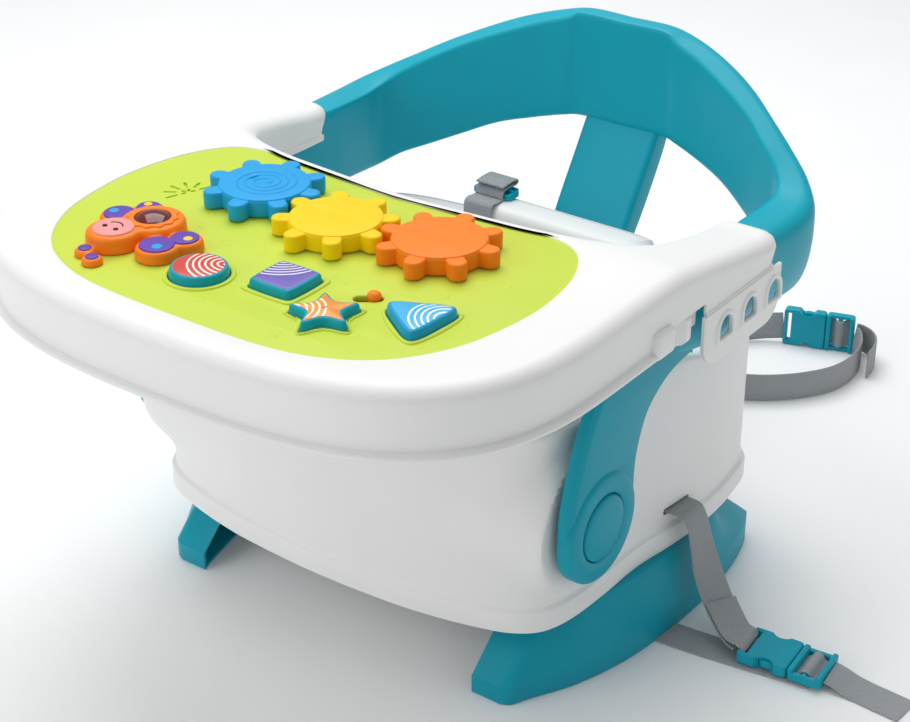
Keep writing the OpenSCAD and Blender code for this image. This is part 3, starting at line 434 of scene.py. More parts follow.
def loft(name, rings, ends="cap"):
    """A circle laid on the first ring of points, then extruded and laid ring by ring."""
    bpy.ops.mesh.primitive_circle_add(vertices=len(rings[0]), enter_editmode=True)
    piece = bpy.context.object
    piece.name = name
    first = last = list(range(len(rings[0])))
    lay_verts(piece, first, rings[0])
    for ring in rings[1:]:
        bpy.ops.mesh.extrude_edges_move()
        mesh = bmesh.from_edit_mesh(piece.data)
        mesh.verts.ensure_lookup_table()
        mesh.verts.index_update()
        ends_of = [[e.other_vert(mesh.verts[i]) for e in mesh.verts[i].link_edges] for i in last]
        last = [next(v.index for v in others if v.select) for others in ends_of]
        lay_verts(piece, last, ring)
    if ends == "cap":
        for ring in (first, last):
            select_verts(piece, ring)
            bpy.ops.mesh.edge_face_add()
    if ends == "join":
        select_verts(piece, first + last)
        bpy.ops.mesh.bridge_edge_loops()
    close_up(piece)
    return piece


def apply_modifier(piece, kind, **settings):
    """Adds a modifier with its settings and applies it."""
    focus(piece)
    modifier = piece.modifiers.new(kind.lower(), kind)
    for key, value in settings.items():
        setattr(modifier, key, value)
    bpy.ops.object.modifier_apply(modifier=modifier.name)
    piece.select_set(False)


def block(name, low, high, bevel=0, segments=3):
    """A cube stretched between two corners in millimetres, its edges rounded over."""
    bpy.ops.mesh.primitive_cube_add(size=1, enter_editmode=True)
    piece = bpy.context.object
    piece.name = name
    mesh = bmesh.from_edit_mesh(piece.data)
    for vert in mesh.verts:
        share = [c + 0.5 for c in vert.co]
        vert.co = Vector([a + (b - a) * s for a, b, s in zip(low, high, share)]) * MM
    if bevel:
        bpy.ops.mesh.bevel(offset=bevel * MM, segments=segments, affect="EDGES")
    close_up(piece)
    return piece


def side_block(name, side, low, high, bevel=0, segments=3):
    """A block on the left (-1) or the right (1), given by its corners on the right."""
    near, far = sorted((side * low[0], side * high[0]))
    return block(name, (near, *low[1:]), (far, *high[1:]), bevel, segments)


def cut_away(piece, cutters):
    """Takes the cutters' shapes out of the piece and throws the cutters away."""
    for cutter in cutters:
        apply_modifier(piece, "BOOLEAN", operation="DIFFERENCE", solver="EXACT", object=cutter)
        bpy.data.objects.remove(cutter)


def put_together(name, pieces):
    """Joins meshes that are one moulding into one piece."""
    bpy.ops.object.select_all(action="DESELECT")
    for piece in pieces:
        piece.select_set(True)
    bpy.context.view_layer.objects.active = pieces[0]
    bpy.ops.object.join()
    pieces[0].name = name
    pieces[0].select_set(False)
    return pieces[0]


def to_pad(point):
    """Draws the wall out to the flat round pad that the hub bears on."""
    x, y, z = point
    reach = math.hypot(y - hub_y, z - hub_z)
    share = ease((pad_r + 9 - reach) / 9)
    side = math.copysign(1, x)
    return (side * (abs(x) + max(pad_x - abs(x), 0) * share), y, z) if abs(x) > 100 else (x, y, z)


def level_ring(grow, z):
    """The wall's plan at one height."""
    return [(p.x, p.y, z) for p in base_outline(grow)]


def wall_ring(grow, level):
    """The wall's plan at a level: under 1 it is a share of the wall's height, else millimetres."""
    ring = []
    for p in base_outline(grow):
        top = lip_height(p.x, p.y)
        z = level if level > 1 else band_top + 3 + (top - band_top - 3 - 4) * level
        ring.append(to_pad((p.x, p.y, z)))
    return ring


def lip_ring(grow, drop):
    """The rolled upper edge, inside the wall's line and below the lip's height."""
    return [(p.x, p.y, lip_height(p.x, p.y) - drop) for p in base_outline(grow)]


band = [(-base_wall, band_low), (band_out - 1.2, band_low), (band_out - 0.3, band_low + 0.4)]
band += [(band_out, band_low + 1.4), (band_out, band_low + 8), (band_out, band_top - 2)]
band += [(band_out - 0.5, band_top - 0.6), (1.2, band_top + 0.4), (0.3, band_top + 1.4), (0, band_top + 3)]
wall_rings = [wall_ring(grow, z) for grow, z in band] + [wall_ring(0, k / 30) for k in range(1, 31)]
wall_rings += [lip_ring(-g, d) for g, d in [(0.2, 2.6), (0.9, 1.2), (2, 0.3), (3.4, 0), (3.4, 5)]]
wall_rings += [lip_ring(-base_wall, 9), level_ring(-base_wall, band_top + 20)]
bucket = loft("white_bucket", wall_rings, "join")
slot_w = web_w + 3
slot_h = 5
side_slot_y = 49
side_slot_z = 85
rear_slot_x = 30
rear_slot_z = 84
slot_cuts = []
for s in (-1, 1):
    low = (base_half_w - 40, side_slot_y - slot_w / 2, side_slot_z - slot_h / 2)
    high = (base_half_w + 10, side_slot_y + slot_w / 2, side_slot_z + slot_h / 2)
    slot_cuts.append(side_block("slot", s, low, high, 1.5, 2))
    low = (s * rear_slot_x - slot_h / 2, base_back - 30, rear_slot_z - slot_w / 2)
    high = (s * rear_slot_x + slot_h / 2, base_back + 10, rear_slot_z + slot_w / 2)
    slot_cuts.append(block("slot", low, high, 1.5, 2))
cut_away(bucket, slot_cuts)
ledge_reach = 38
ledge_z = 118
low = (-ledge_reach, base_back - 4, ledge_z - 10)
ledge = block("ledge", low, (ledge_reach, base_back + ledge_reach, ledge_z), 2.5)
bucket = soften(put_together("white_bucket", [bucket, ledge]), 32)


def moulded_plastic(name, colour, deep, roughness, grain=0.5, peel=0.25):
    """Injection-moulded plastic: two close tones, a fine tool texture and a varied gloss."""
    material, shader, place = new_material(name)
    tone = blend(material, colour, deep, (noise(material, place, 11, 3), "Fac"))
    join_nodes(material, tone, 2, shader, "Base Color")
    skin = (noise(material, place, 1 / (grain * MM)), "Fac")
    gloss = stretch(material, skin, (0.3, 0.7), (roughness - 0.04, roughness + 0.06))
    join_nodes(material, gloss, "Result", shader, "Roughness")
    relief(material, shader, skin, peel, 0.05)
    tune(shader, {"IOR": 1.49, "Specular IOR Level": 0.25})
    return material


# White polypropylene homopolymer, injection moulded in a fine spark-eroded tool: an even
# satin skin with a very soft highlight and a hardly visible orange peel.
white_pp = moulded_plastic("white_polypropylene", "#f6f6f4", "#efefed", 0.36)
show_on(bucket, "seat", "white_plastic", white_pp, "base_shell")

# ---- Seat moulding ---------------------------------------------------------
# The seat the child sits in: a wide rounded lip, walls that fall to a flat floor, and a
# raised middle of the back. It is the same white polypropylene and snaps into the bucket.
rim_w = 26
seat_floor = 118
pan_gap = 3.5
pan_rings = [
    level_ring(-110, seat_floor - 3), level_ring(-rim_w + 1, seat_floor - 3),
    lip_ring(-rim_w + 3, 12), lip_ring(-rim_w + 8, 4), lip_ring(-pan_gap - 4, 4), lip_ring(-pan_gap - 3, 9),
    lip_ring(-pan_gap, 9), lip_ring(-pan_gap, 1.2), lip_ring(-pan_gap - 0.8, 0.3),
]
pan_rings += [lip_ring(-g, d) for g, d in [(6, 0), (12, -0.4), (18, 0), (22, 0.9), (24.6, 2.6), (25.8, 5)]]
for share in [k / 8 for k in range(9)]:
    ring = lip_ring(-rim_w - 0.4 - 1.6 * share, 9)
    pan_rings.append([(x, y, z * (1 - share) + (seat_floor + 8) * share) for x, y, z in ring])
pan_rings += [level_ring(-rim_w - 2.8, seat_floor + 4), level_ring(-rim_w - 4.4, seat_floor + 1.4)]
pan_rings += [level_ring(-rim_w - 8, seat_floor), level_ring(-110, seat_floor)]
seat = loft("seat_moulding", pan_rings)
waist_slot_z = seat_floor + 24
low = (waist_x - slot_w / 2, base_back - 60, waist_slot_z - slot_h / 2)
high = (waist_x + slot_w / 2, base_back - 12, waist_slot_z + slot_h / 2)
cut_away(seat, [side_block("slot", s, low, high, 1.5, 2) for s in (-1, 1)])
show_on(soften(seat), "seat", "white_plastic", white_pp, "seat_pan")

# ---- Feet ------------------------------------------------------------------
# Two hollow mouldings in teal ABS stand under the sides of the bucket, screwed up into its
# closing plate. Above a soft crease they slope in to the bucket, and the inner side is open.
foot_h = 56
foot_wall = 3
foot_front = -110
foot_rear = 165
rear_slope = 40
foot_outer = [(-36, foot_front), (-29, foot_front + 4), (-23, -94), (-8, -66), (3, -34), (9, -4)]
foot_outer += [(12, 30), (13, 67), (11, 96), (7, 124), (1, 148), (-5, 161)]
foot_inner = [(-16, foot_rear), (-26, 150), (-30, 100), (-35, 40), (-40, -20), (-48, -70), (-58, foot_front)]
crease_z = 20
slope_in = 10
front_lean = 48
toe_h = 14
strap_y = 22


def foot_line(plan, z, steps=5):
    """One side of the foot at a height: it slopes in above the crease, and the front leans back."""
    rise = max(z - crease_z, 0) / (foot_h - crease_z)
    line = []
    for p in through([(base_half_w + x, y, 0) for x, y in plan], steps):
        front = min(max((-50 - p.y) / 60, 0), 1)
        outer = ease((p.x - base_half_w + 36) / 30)
        lean = front_lean * max((z - toe_h) / (foot_h - toe_h), 0)
        back = rear_slope * rise * ease((p.y - 90) / 60)
        line.append((p.x - slope_in * rise * outer, p.y + lean * front - back, z))
    return line


def shrunk(ring, inset):
    """A plan outline moved inwards along its normals."""
    n = len(ring)
    area = sum(ring[i - 1][0] * ring[i][1] - ring[i][0] * ring[i - 1][1] for i in range(n))
    turn = 1 if area > 0 else -1
    moved = []
    for i, (x, y, z) in enumerate(ring):
        ahead = Vector(ring[(i + 1) % n]) - Vector(ring[i - 1])
        side = Vector((ahead.y, -ahead.x, 0)).normalized() * turn
        moved.append((x - side.x * inset, y - side.y * inset, z))
    return moved


# Teal ABS, coloured in the mass, a little duller than the white and with a coarser skin.
teal_abs = moulded_plastic("teal_abs", "#00a2b8", "#009bb0", 0.4, 0.6, 0.35)
foot_edges = [(1.6, 0), (0.5, 0.5), (0, 1.8), (0, 9), (0, 14), (0, 17), (0, 20), (0, 23), (0, 31)]
foot_edges += [(0, 42), (0, 54.6), (0.6, 55.6), (1.4, foot_h)]
inside_x = base_half_w - 72
for s, side_name in ((-1, "left"), (1, "right")):
    foot_rings = []
    for inset, z in foot_edges:
        outline = foot_line(foot_outer, z) + foot_line(foot_inner, z, 4)
        foot_rings.append([(s * x, y, z) for x, y, z in shrunk(outline, inset)])
    foot = loft(side_name + "_foot_moulding", foot_rings)
    hollow_rings = []
    for z in (foot_wall, 13, crease_z, 34, foot_h - foot_wall):
        line = foot_line(foot_outer, z)
        front = line[0][1] + foot_wall
        rear = line[-1][1] - foot_wall
        ring = [(x - foot_wall, min(max(y, front), rear), z) for x, y, z in line]
        ring += [(inside_x, rear, z), (inside_x, front, z)]
        hollow_rings.append([(s * x, y, z) for x, y, z in ring])
    low = (inside_x, strap_y - slot_w / 2, -1)
    high = (base_half_w + 30, strap_y + slot_w / 2, 2)
    cut_away(foot, [loft("hollow", hollow_rings), side_block("notch", s, low, high)])
    show_on(soften(foot), "seat", "teal_plastic", teal_abs, side_name + "_foot")


# ---- Back ring -------------------------------------------------------------
# One sweep of teal ABS makes both armrests and the backrest. Its band is rounded on the
# outside, flat and leaning on the inside, with a narrow flat along the top.
armrest_z = 208
armrest_top = 271
armrest_in = 169
armrest_out = 200
hub_x = 185
ring_top = 338
ring_low = 255
ring_back = 261
strut_half = 32
ring_rows = [
    (armrest_in, -58, hub_x - 2, -58, armrest_z + 14, armrest_top),
    (armrest_in, -12, hub_x - 2, -12, armrest_z + 4, armrest_top),
    (armrest_in, 10, hub_x, 10, armrest_z, armrest_top),
    (armrest_in, 36, hub_x + 6, 36, armrest_z, armrest_top),
    (armrest_in, 60, armrest_out, 60, armrest_z, armrest_top),
    (armrest_in + 1, 112, armrest_out + 1, 112, armrest_z, armrest_top),
    (armrest_in + 4, 148, armrest_out + 2, 149, armrest_z - 3, armrest_top),
    (armrest_in + 3, 170, armrest_out - 2, 172, armrest_z - 3, armrest_top + 3),
    (armrest_in - 7, 184, armrest_out - 17, ring_back - 70, ring_low - 43, ring_top - 56),
    (armrest_in - 23, ring_back - 66, armrest_out - 36, ring_back - 56, ring_low - 36, ring_top - 46),
    (armrest_in - 46, ring_back - 51, armrest_out - 58, ring_back - 43, ring_low - 26, ring_top - 34),
    (armrest_in - 71, ring_back - 39, armrest_out - 82, ring_back - 27, ring_low - 15, ring_top - 23),
    (armrest_in - 97, ring_back - 29, armrest_out - 106, ring_back - 16, ring_low - 8, ring_top - 13),
    (armrest_in - 121, ring_back - 23, armrest_out - 134, ring_back - 6, ring_low - 2, ring_top - 5),
    (strut_half + 3, ring_back - 20, strut_half + 3, ring_back - 1, ring_low, ring_top),
    (0, ring_back - 20, 0, ring_back - 1, ring_low, ring_top),
]
band_section = [
    (0.2, 0), (0.08, 0.01), (0.02, 0.04), (0, 0.1), (0, 0.35), (0, 0.62), (0, 0.86), (0.01, 0.95),
    (0.05, 0.99), (0.14, 1), (0.35, 1), (0.58, 0.995), (0.78, 0.975), (0.91, 0.93), (0.98, 0.86),
    (1, 0.76), (1, 0.6), (0.97, 0.45), (0.9, 0.29), (0.78, 0.15), (0.6, 0.05), (0.4, 0.01),
]
lean = 0.14
tray_arm_y = 104


def ring_section(row, squeeze=1.0):
    """The band's section at one row, squeezed about its middle where the end rounds over."""
    inner_x, inner_y, outer_x, outer_y, low, high = row
    points = []
    for across, up in band_section:
        if across < 0.1:
            across -= lean * up * min(1, max(0, (inner_y - tray_arm_y) / 50))
        across = 0.5 + (across - 0.5) * squeeze
        up = 0.5 + (up - 0.5) * squeeze
        x = inner_x + (outer_x - inner_x) * across
        y = inner_y + (outer_y - inner_y) * across
        points.append((x, y, low + (high - low) * up))
    return points


def along(rows, steps):
    """The rows with smooth ones between them, whatever their length."""
    found = []
    for i in range(len(rows) - 1):
        four = [rows[min(max(i + k, 0), len(rows) - 1)] for k in (-1, 0, 1, 2)]
        for s in range(steps):
            found.append(tuple(on_curve(*(r[j] for r in four), s / steps) for j in range(len(rows[0]))))
    return found + [rows[-1]]


half_rows = along(ring_rows, 7)
other_rows = [(-a, b, -c, d, e, f) for a, b, c, d, e, f in half_rows[-2::-1]]
sections = [ring_section(row) for row in half_rows + other_rows]
blunt = [(0.9, 0), (0.96, 0.6), (0.99, 1.8)]
front_end = [[(x, y + d, z) for x, y, z in ring_section(half_rows[0], s)] for s, d in blunt]
other_end = [[(-x, y, z) for x, y, z in ring] for ring in front_end[::-1]]
whole_ring = front_end + sections[1:-1] + other_end
smooth_rings = [[tuple(p) for p in through(ring, 2, closed=True)] for ring in whole_ring]
back_ring = soften(loft("back_ring_moulding", smooth_rings), 40)

# Satin teal ABS: the arms' teal painted a little brighter on the ring and its strut, as painted
# light, and a smoother tool gives them a softer highlight.
painted_light_teal = moulded_plastic("painted_light_teal_abs", "#00aabf", "#00a1b6", 0.37, 0.6, 0.3)
# The ring wears the teal painted brighter, as painted light.
show_on(back_ring, "frame", "teal_plastic", painted_light_teal, "back_ring")

# ---- Back strut ------------------------------------------------------------
# A flat teal ABS post with rounded edges runs from the ring's back down to the ledge of
# the bucket. It stands straight, then leans back to meet the ring.
strut_rows = [(ledge_z, 196, 215), (ledge_z + 1, 196, 215), (150, 196, 215.5), (178, 196, 216.5)]
strut_rows += [(186, 198, 220), (194, 202, 226)]
strut_rows += [(210, 212, 237), (232, 226.5, 251), (250, 238, 260.5), (262, 246, 262), (272, 251, 262)]


def rounded_box_ring(x0, x1, y0, y1, r, z, steps=5):
    """A rectangle's plan with rounded corners at one height."""
    ring = []
    corners = [(x1 - r, y1 - r, 0), (x0 + r, y1 - r, 90), (x0 + r, y0 + r, 180), (x1 - r, y0 + r, 270)]
    for cx, cy, start in corners:
        for k in range(steps + 1):
            a = math.radians(start + 90 * k / steps)
            ring.append((cx + r * math.cos(a), cy + r * math.sin(a), z))
    return ring


strut_rings = [
    rounded_box_ring(-strut_half, strut_half, front, back, 4.5, z)
    for z, front, back in along(strut_rows, 3)
]
strut = soften(loft("back_strut_moulding", strut_rings), 35)
# The strut wears the teal painted brighter, as painted light.
show_on(strut, "frame", "teal_plastic", painted_light_teal, "back_strut")

# ---- Side arms and hubs ----------------------------------------------------
# Each arm is a teal ABS moulding: a round raised disc at the hub, and a blade that sweeps
# back to the armrest with a broad bevel along its front edge.
hub_r = 38.2
cap_r = 22.4
arm_in = 169
arm_top = armrest_z + 24
arm_front = [(-38, 0), (-36.5, 24), (-30, 48), (-20, 73), (-7, 95)]
arm_rear = [(104, 0), (78, -3), (61, -10), (48, -22), (39, -45), (37.5, -68)]


def arm_outline():
    """The blade's side view with the hub's round end, in Y and Z."""
    front = through([(hub_y + y, hub_z + z, 0) for y, z in arm_front], 6)
    rear = through([(hub_y + y, armrest_z + z, 0) for y, z in arm_rear], 6)
    side = [(p.x, p.y) for p in front] + [(hub_y - 2, arm_top), (hub_y + 104, arm_top)]
    side += [(p.x, p.y) for p in rear]
    turns = [math.radians(a) for a in range(6, -180, -6)]
    return side + [(hub_y + hub_r * math.cos(t), hub_z + hub_r * math.sin(t)) for t in turns]


def circle_ring(x, r, count=72):
    """A circle about the hub's axis."""
    turns = [math.tau * k / count for k in range(count)]
    return [(x, hub_y + r * math.cos(t), hub_z + r * math.sin(t)) for t in turns]


def arm_ring(x, front_in, rear_in):
    """The arm's side view drawn in from its front and rear edges."""
    outline = arm_outline()
    n = len(outline)
    ring = []
    for i, (y, z) in enumerate(outline):
        ahead = Vector(outline[(i + 1) % n]) - Vector(outline[i - 1])
        out = Vector((-ahead.y, ahead.x)).normalized()
        share = ease(0.5 - out.x * 0.9) * ease((z - hub_z + 30) / 40)
        inset = rear_in + (front_in - rear_in) * share
        ring.append((x, y - out.x * inset, z - out.y * inset))
    return ring


blade_profile = [(5, 0.6, 0.6), (5.5, 0, 0), (11, 0, 0), (12, 0.5, 0.1), (13.2, 2.8, 0.5)]
blade_profile += [(13.9, 4.2, 1.2), (14.2, 5.8, 2.4)]
disc_profile = [(5.2, 23.5), (5.2, 37), (6, hub_r), (12.4, hub_r), (14.3, 37.6), (15.5, 36.2), (16, 34)]
disc_profile += [(16.2, 29), (16, 25), (15.4, 23.6), (14.4, 23), (4, 22.9)]
cap_profile = [(15.2, 4), (15.2, 18.6), (14.6, 19.8), (10, 20), (10, cap_r)]
cap_profile += [(15.4, cap_r), (16.3, cap_r - 0.5), (16.9, cap_r - 1.5)]
cap_profile += [(17.5, cap_r - 6), (17.85, 10), (18, 4)]
for s, side_name in ((-1, "left"), (1, "right")):
    blade_rings = [arm_ring(arm_in + x, front, rear) for x, front, rear in blade_profile]
    blade = loft("blade", [[(s * x, y, z) for x, y, z in ring] for ring in blade_rings])
    disc = loft("disc", [circle_ring(s * (arm_in + x), r) for x, r in disc_profile], "join")
    bore = loft("bore", [circle_ring(s * (arm_in + x), 30) for x in (4, 28)])
    floor_cut = loft("floor_cut", [circle_ring(s * (arm_in + x), 9.2) for x in (-12, 8)])
    cut_away(blade, [bore, floor_cut])
    arm = soften(put_together(side_name + "_arm_moulding", [blade, disc]), 30)
    show_on(arm, "frame", "teal_plastic", teal_abs, side_name + "_arm")
    cap = soften(loft(side_name + "_hub_cap", [circle_ring(s * (arm_in + x), r) for x, r in cap_profile]), 35)
    show_on(cap, side_name + "_hub_button", "teal_plastic", teal_abs, side_name + "_hub_button")


# ---- Tray ------------------------------------------------------------------
# A deep white polypropylene tray with a rolled edge. Two half-tube arms slide along the
# armrests, and a plate with three D-shaped catch holes hangs from each.
tray_half = 210
tray_front = 264
tray_z = 297
skirt_low = 253
tray_mid = -98
tray_power = 2.9
tray_arm_in = 164
tray_arm_top = 279
slope_y = -20
panel_mid = -130
panel_rear = -34
panel_half_w = 163
panel_front = 238
panel_half = [(0, -1), (0.4, -0.98), (0.64, -0.88), (0.81, -0.7), (0.93, -0.42), (0.985, -0.1)]
panel_half += [(1, 0.28), (0.95, 0.72), (0.83, 1.02), (0.62, 1.09), (0.36, 1.03), (0, 0.98)]


def arc_points(centre, r, start, end, count):
    """Points of an arc, angles in degrees."""
    turns = [math.radians(start + (end - start) * k / count) for k in range(count + 1)]
    return [(centre[0] + r * math.cos(t), centre[1] + r * math.sin(t)) for t in turns]


def circle(centre, r, count):
    """Points of a whole circle."""
    return arc_points(centre, r, 0, 360, count)[:-1]


def tray_plan():
    """The tray's outline, counterclockwise from the middle of its front edge."""
    reach = tray_front + tray_mid
    half = []
    for k in range(31):
        t = math.radians(-90 + 3 * k)
        x = tray_half * abs(math.cos(t)) ** (2 / tray_power)
        half.append((x, tray_mid - reach * abs(math.sin(t)) ** (2 / tray_power)))
    r = 14
    half += [(tray_half, y) for y in (-60, -20, 20, 60)]
    half += arc_points((tray_half - r, tray_arm_y - r), r, 0, 90, 8)
    half += arc_points((tray_arm_in + r, tray_arm_y - r), r, 90, 180, 8)
    inner = [(tray_arm_in, 70, 0), (tray_arm_in, 40, 0), (154, 8, 0)]
    inner += [(110, -12, 0), (60, -18, 0), (0, -22, 0)]
    half += [(p.x, p.y) for p in through(inner, 5)]
    whole = half + [(-x, y) for x, y in half[-2:0:-1]] + half[:1]
    return [tuple(p) for p, span in even_steps([Vector((x, y, 0)) for x, y in whole], 6)[:-1]]


plan = tray_plan()
latch_y = (-28, -7)


def tray_top(y):
    """Height of the tray: level over the panel, sloping down along the arms."""
    share = (y - slope_y) / (tray_arm_y - 20 - slope_y)
    return tray_z - (tray_z - tray_arm_top) * min(max(share, 0), 1)


def tray_ring(inset, drop=None, height=None):
    """The plan drawn inwards, at a drop below the tray's top or at a height."""
    ring = shrunk(plan, inset)
    return [(x, y, height if height is not None else tray_top(y) - drop) for x, y, z in ring]


def skirt_ring(inset, share):
    """A ring on the skirt, by its share of the way from the bead up to the rolled edge."""
    ring = shrunk(plan, inset)
    low = skirt_low + 5
    return [(x, y, low + (tray_top(y) - 9 - low) * share) for x, y, z in ring]


def bead_ring(inset, height):
    """A ring of the bead round the lower edge, which fades out along the arms."""
    bold = tray_ring(inset, height=height)
    plain = tray_ring(max(inset, 0.9), height=height)
    return [tuple(Vector(b).lerp(Vector(a), ease((-12 - a[1]) / 30))) for a, b in zip(bold, plain)]


def panel_outline(grow, steps=6):
    """The panel's plan, grown outwards."""
    reach = panel_front + panel_mid
    points = []
    for x, y in mirrored(panel_half):
        depth = reach if y < 0 else panel_rear - panel_mid
        points.append((x * (panel_half_w + grow), panel_mid + y * (depth + grow), 0))
    return through(points, steps, closed=True)


tray_rings = [tray_ring(14, 3.2), tray_ring(8, 4.4), tray_ring(4.4, 8), tray_ring(3.4, 14)]
tray_rings += [tray_ring(g, height=skirt_low + up) for g, up in ((3.6, 5), (3, 0.6), (1.4, 0))]
bead = [(-0.9, 0), (-1.9, 0.6), (-2.4, 1.6), (-2.4, 2.6), (-1.9, 3.5)]
bead += [(-0.8, 4), (1.2, 4.2), (1.9, 4.8), (1.9, 6)]
tray_rings += [bead_ring(inset, skirt_low + rise) for inset, rise in bead]
tray_rings += [skirt_ring(1.9 - 1.9 * k / 6, 0.12 + 0.88 * k / 6) for k in range(7)]
for k in range(1, 8):
    a = math.radians(90 * k / 7)
    tray_rings.append(tray_ring(11 - 11 * math.cos(a), 9 - 9 * math.sin(a)))
tray_rings.append(tray_ring(13.5, 0))


def fill_between(piece, loops):
    """Fills the flat space between edge loops that are given by their vertices."""
    select_verts(piece, [i for loop in loops for i in loop])
    bpy.ops.mesh.fill(use_beauty=True)


shell = loft("shell", tray_rings, "open")
pocket_profile = [(2.4, tray_z), (1.3, tray_z - 0.4), (0.8, tray_z - 1.4), (0.8, tray_z - 6)]
pocket_profile += [(-6, tray_z - 6), (-6, skirt_low + 8)]
tub_profile = [(4, tray_z - 3.2), (3.8, tray_z - 9), (-3, tray_z - 9.5)]
tub_profile += [(-3, skirt_low + 6), (-4.5, skirt_low + 5)]
pocket, tub = [
    loft(name, [[(p.x, p.y, z) for p in panel_outline(grow)] for grow, z in profile], "open")
    for name, profile in (("pocket", pocket_profile), ("tub", tub_profile))
]
tray = put_together("tray_moulding", [shell, pocket, tub])
bpy.context.view_layer.objects.active = tray
bpy.ops.object.mode_set(mode="EDIT")
count = len(plan)
around = len(panel_outline(0))
pocket_n = count * len(tray_rings)
tub_n = pocket_n + around * len(pocket_profile)
whole_n = tub_n + around * len(tub_profile)
fill_between(tray, [range(pocket_n - count, pocket_n), range(pocket_n, pocket_n + around)])
fill_between(tray, [range(count), range(tub_n, tub_n + around)])
for loop_end in (tub_n, whole_n):
    select_verts(tray, range(loop_end - around, loop_end))
    bpy.ops.mesh.edge_face_add()
close_up(tray)
notches = []
for s in (-1, 1):
    low = (armrest_in - 3, tray_arm_y - 13, skirt_low - 6)
    high = (armrest_out + 7, tray_arm_y + 6, armrest_top + 1.4)
    notches.append(side_block("notch", s, low, high, 2))
    low = (armrest_out + 1, latch_y[0] - 4, skirt_low - 6)
    high = (tray_half + 6, latch_y[1] + 16, skirt_low + 12)
    notches.append(side_block("latch_gap", s, low, high, 2.5))
cut_away(tray, notches)


def plate(name, loops, low, high, edge):
    """A plate with its openings, given as loops of points: flat faces and rounded edges."""
    curve = bpy.data.curves.new(name, "CURVE")
    curve.dimensions = "2D"
    curve.fill_mode = "BOTH"
    for loop in loops:
        spline = curve.splines.new("POLY")
        spline.points.add(len(loop) - 1)
        for point, (x, y) in zip(spline.points, loop):
            point.co = (x * MM, y * MM, 0, 1)
        spline.use_cyclic_u = True
    curve.extrude = ((high - low) / 2 - edge) * MM
    curve.bevel_depth = edge * MM
    curve.bevel_resolution = 2
    curve.offset = -edge * MM
    piece = add_object(name, curve)
    bpy.ops.object.convert(target="MESH")
    bpy.ops.object.mode_set(mode="EDIT")
    bpy.ops.mesh.select_all(action="SELECT")
    bpy.ops.transform.translate(value=(0, 0, (low + high) / 2 * MM))
    close_up(piece, weld=True)
    return piece


def stand_up(piece, side):
    """Turns a flat plate so that X runs along Y, Y along Z and its height along X."""
    piece.data.transform(Matrix(((0, 0, side, 0), (1, 0, 0, 0), (0, 1, 0, 0), (0, 0, 0, 1))))
    bpy.context.view_layer.objects.active = piece
    bpy.ops.object.mode_set(mode="EDIT")
    close_up(piece)
    return piece


catch_z = 240
catch_y = [32, 63, 94]
catch_r = 8
catch_h = 14
plate_front = 6
plate_low = 218
latch_out = 208.5
latch_low = 246
stop_top = 270


def catch_loop(y, grow):
    """A D-shaped opening: flat below, arched above."""
    r = catch_r + grow
    low = catch_z - catch_h / 2 - grow
    corner = 2
    loop = arc_points((y - r + corner, low + corner), corner, 180, 270, 4)
    loop += arc_points((y + r - corner, low + corner), corner, 270, 360, 4)
    return loop + arc_points((y, catch_z), r, 0, 180, 16)


plate_loop = [(tray_arm_y, skirt_low + 3), (plate_front, skirt_low + 3)]
plate_loop += arc_points((plate_front + 18, plate_low + 18), 18, 180, 270, 8)
plate_loop += arc_points((tray_arm_y - 18, plate_low + 18), 18, 270, 360, 8)
tray_parts = [tray]
for s in (-1, 1):
    holes = [catch_loop(y, 0.6) for y in catch_y]
    tray_parts.append(stand_up(plate("catch_plate", [plate_loop] + holes, tray_half - 3, tray_half, 0.7), s))
    for y in catch_y:
        rim = plate("catch_rim", [catch_loop(y, 3), catch_loop(y, 0)], tray_half - 2.5, tray_half + 1.5, 1.2)
        tray_parts.append(stand_up(rim, s))
    low = (tray_half - 8, latch_y[0] - 27, skirt_low - 1)
    tray_parts.append(side_block("stop", s, low, (tray_half + 3, latch_y[0] - 6, stop_top), 3.4, 4))
tray = soften(put_together("tray_moulding", tray_parts), 38)
show_on(tray, "tray", "white_plastic", white_pp, "tray_shell")

# ---- Tray latches ----------------------------------------------------------
# A spring catch in white polypropylene sits behind each stop: a thumb pad that is domed
# along the tray, with a crescent finger groove at its front end.
for s, side_name in ((-1, "left"), (1, "right")):
    low = (latch_out - 9, latch_y[0], latch_low)
    latch = side_block("latch", s, low, (latch_out, latch_y[1], latch_low + 18), 3.2, 4)
    middle = (s * (latch_out + 5) * MM, (latch_y[0] + 3) * MM, (latch_low + 9) * MM)
    bpy.ops.mesh.primitive_cylinder_add(vertices=48, radius=0.011, depth=0.03, location=middle)
    groove = bpy.context.object
    bpy.ops.object.transform_apply(location=True, rotation=True, scale=True)
    cut_away(latch, [groove])
    low = (latch_out - 8.5, latch_y[0] + 4, latch_low + 4)
    lug = side_block("lug", s, low, (latch_out - 5.5, 6, latch_low + 14), 0.8, 2)
    latch = soften(put_together(side_name + "_latch_pad", [latch, lug]), 38)
    show_on(latch, side_name + "_tray_latch", "white_plastic", white_pp, side_name + "_tray_latch")


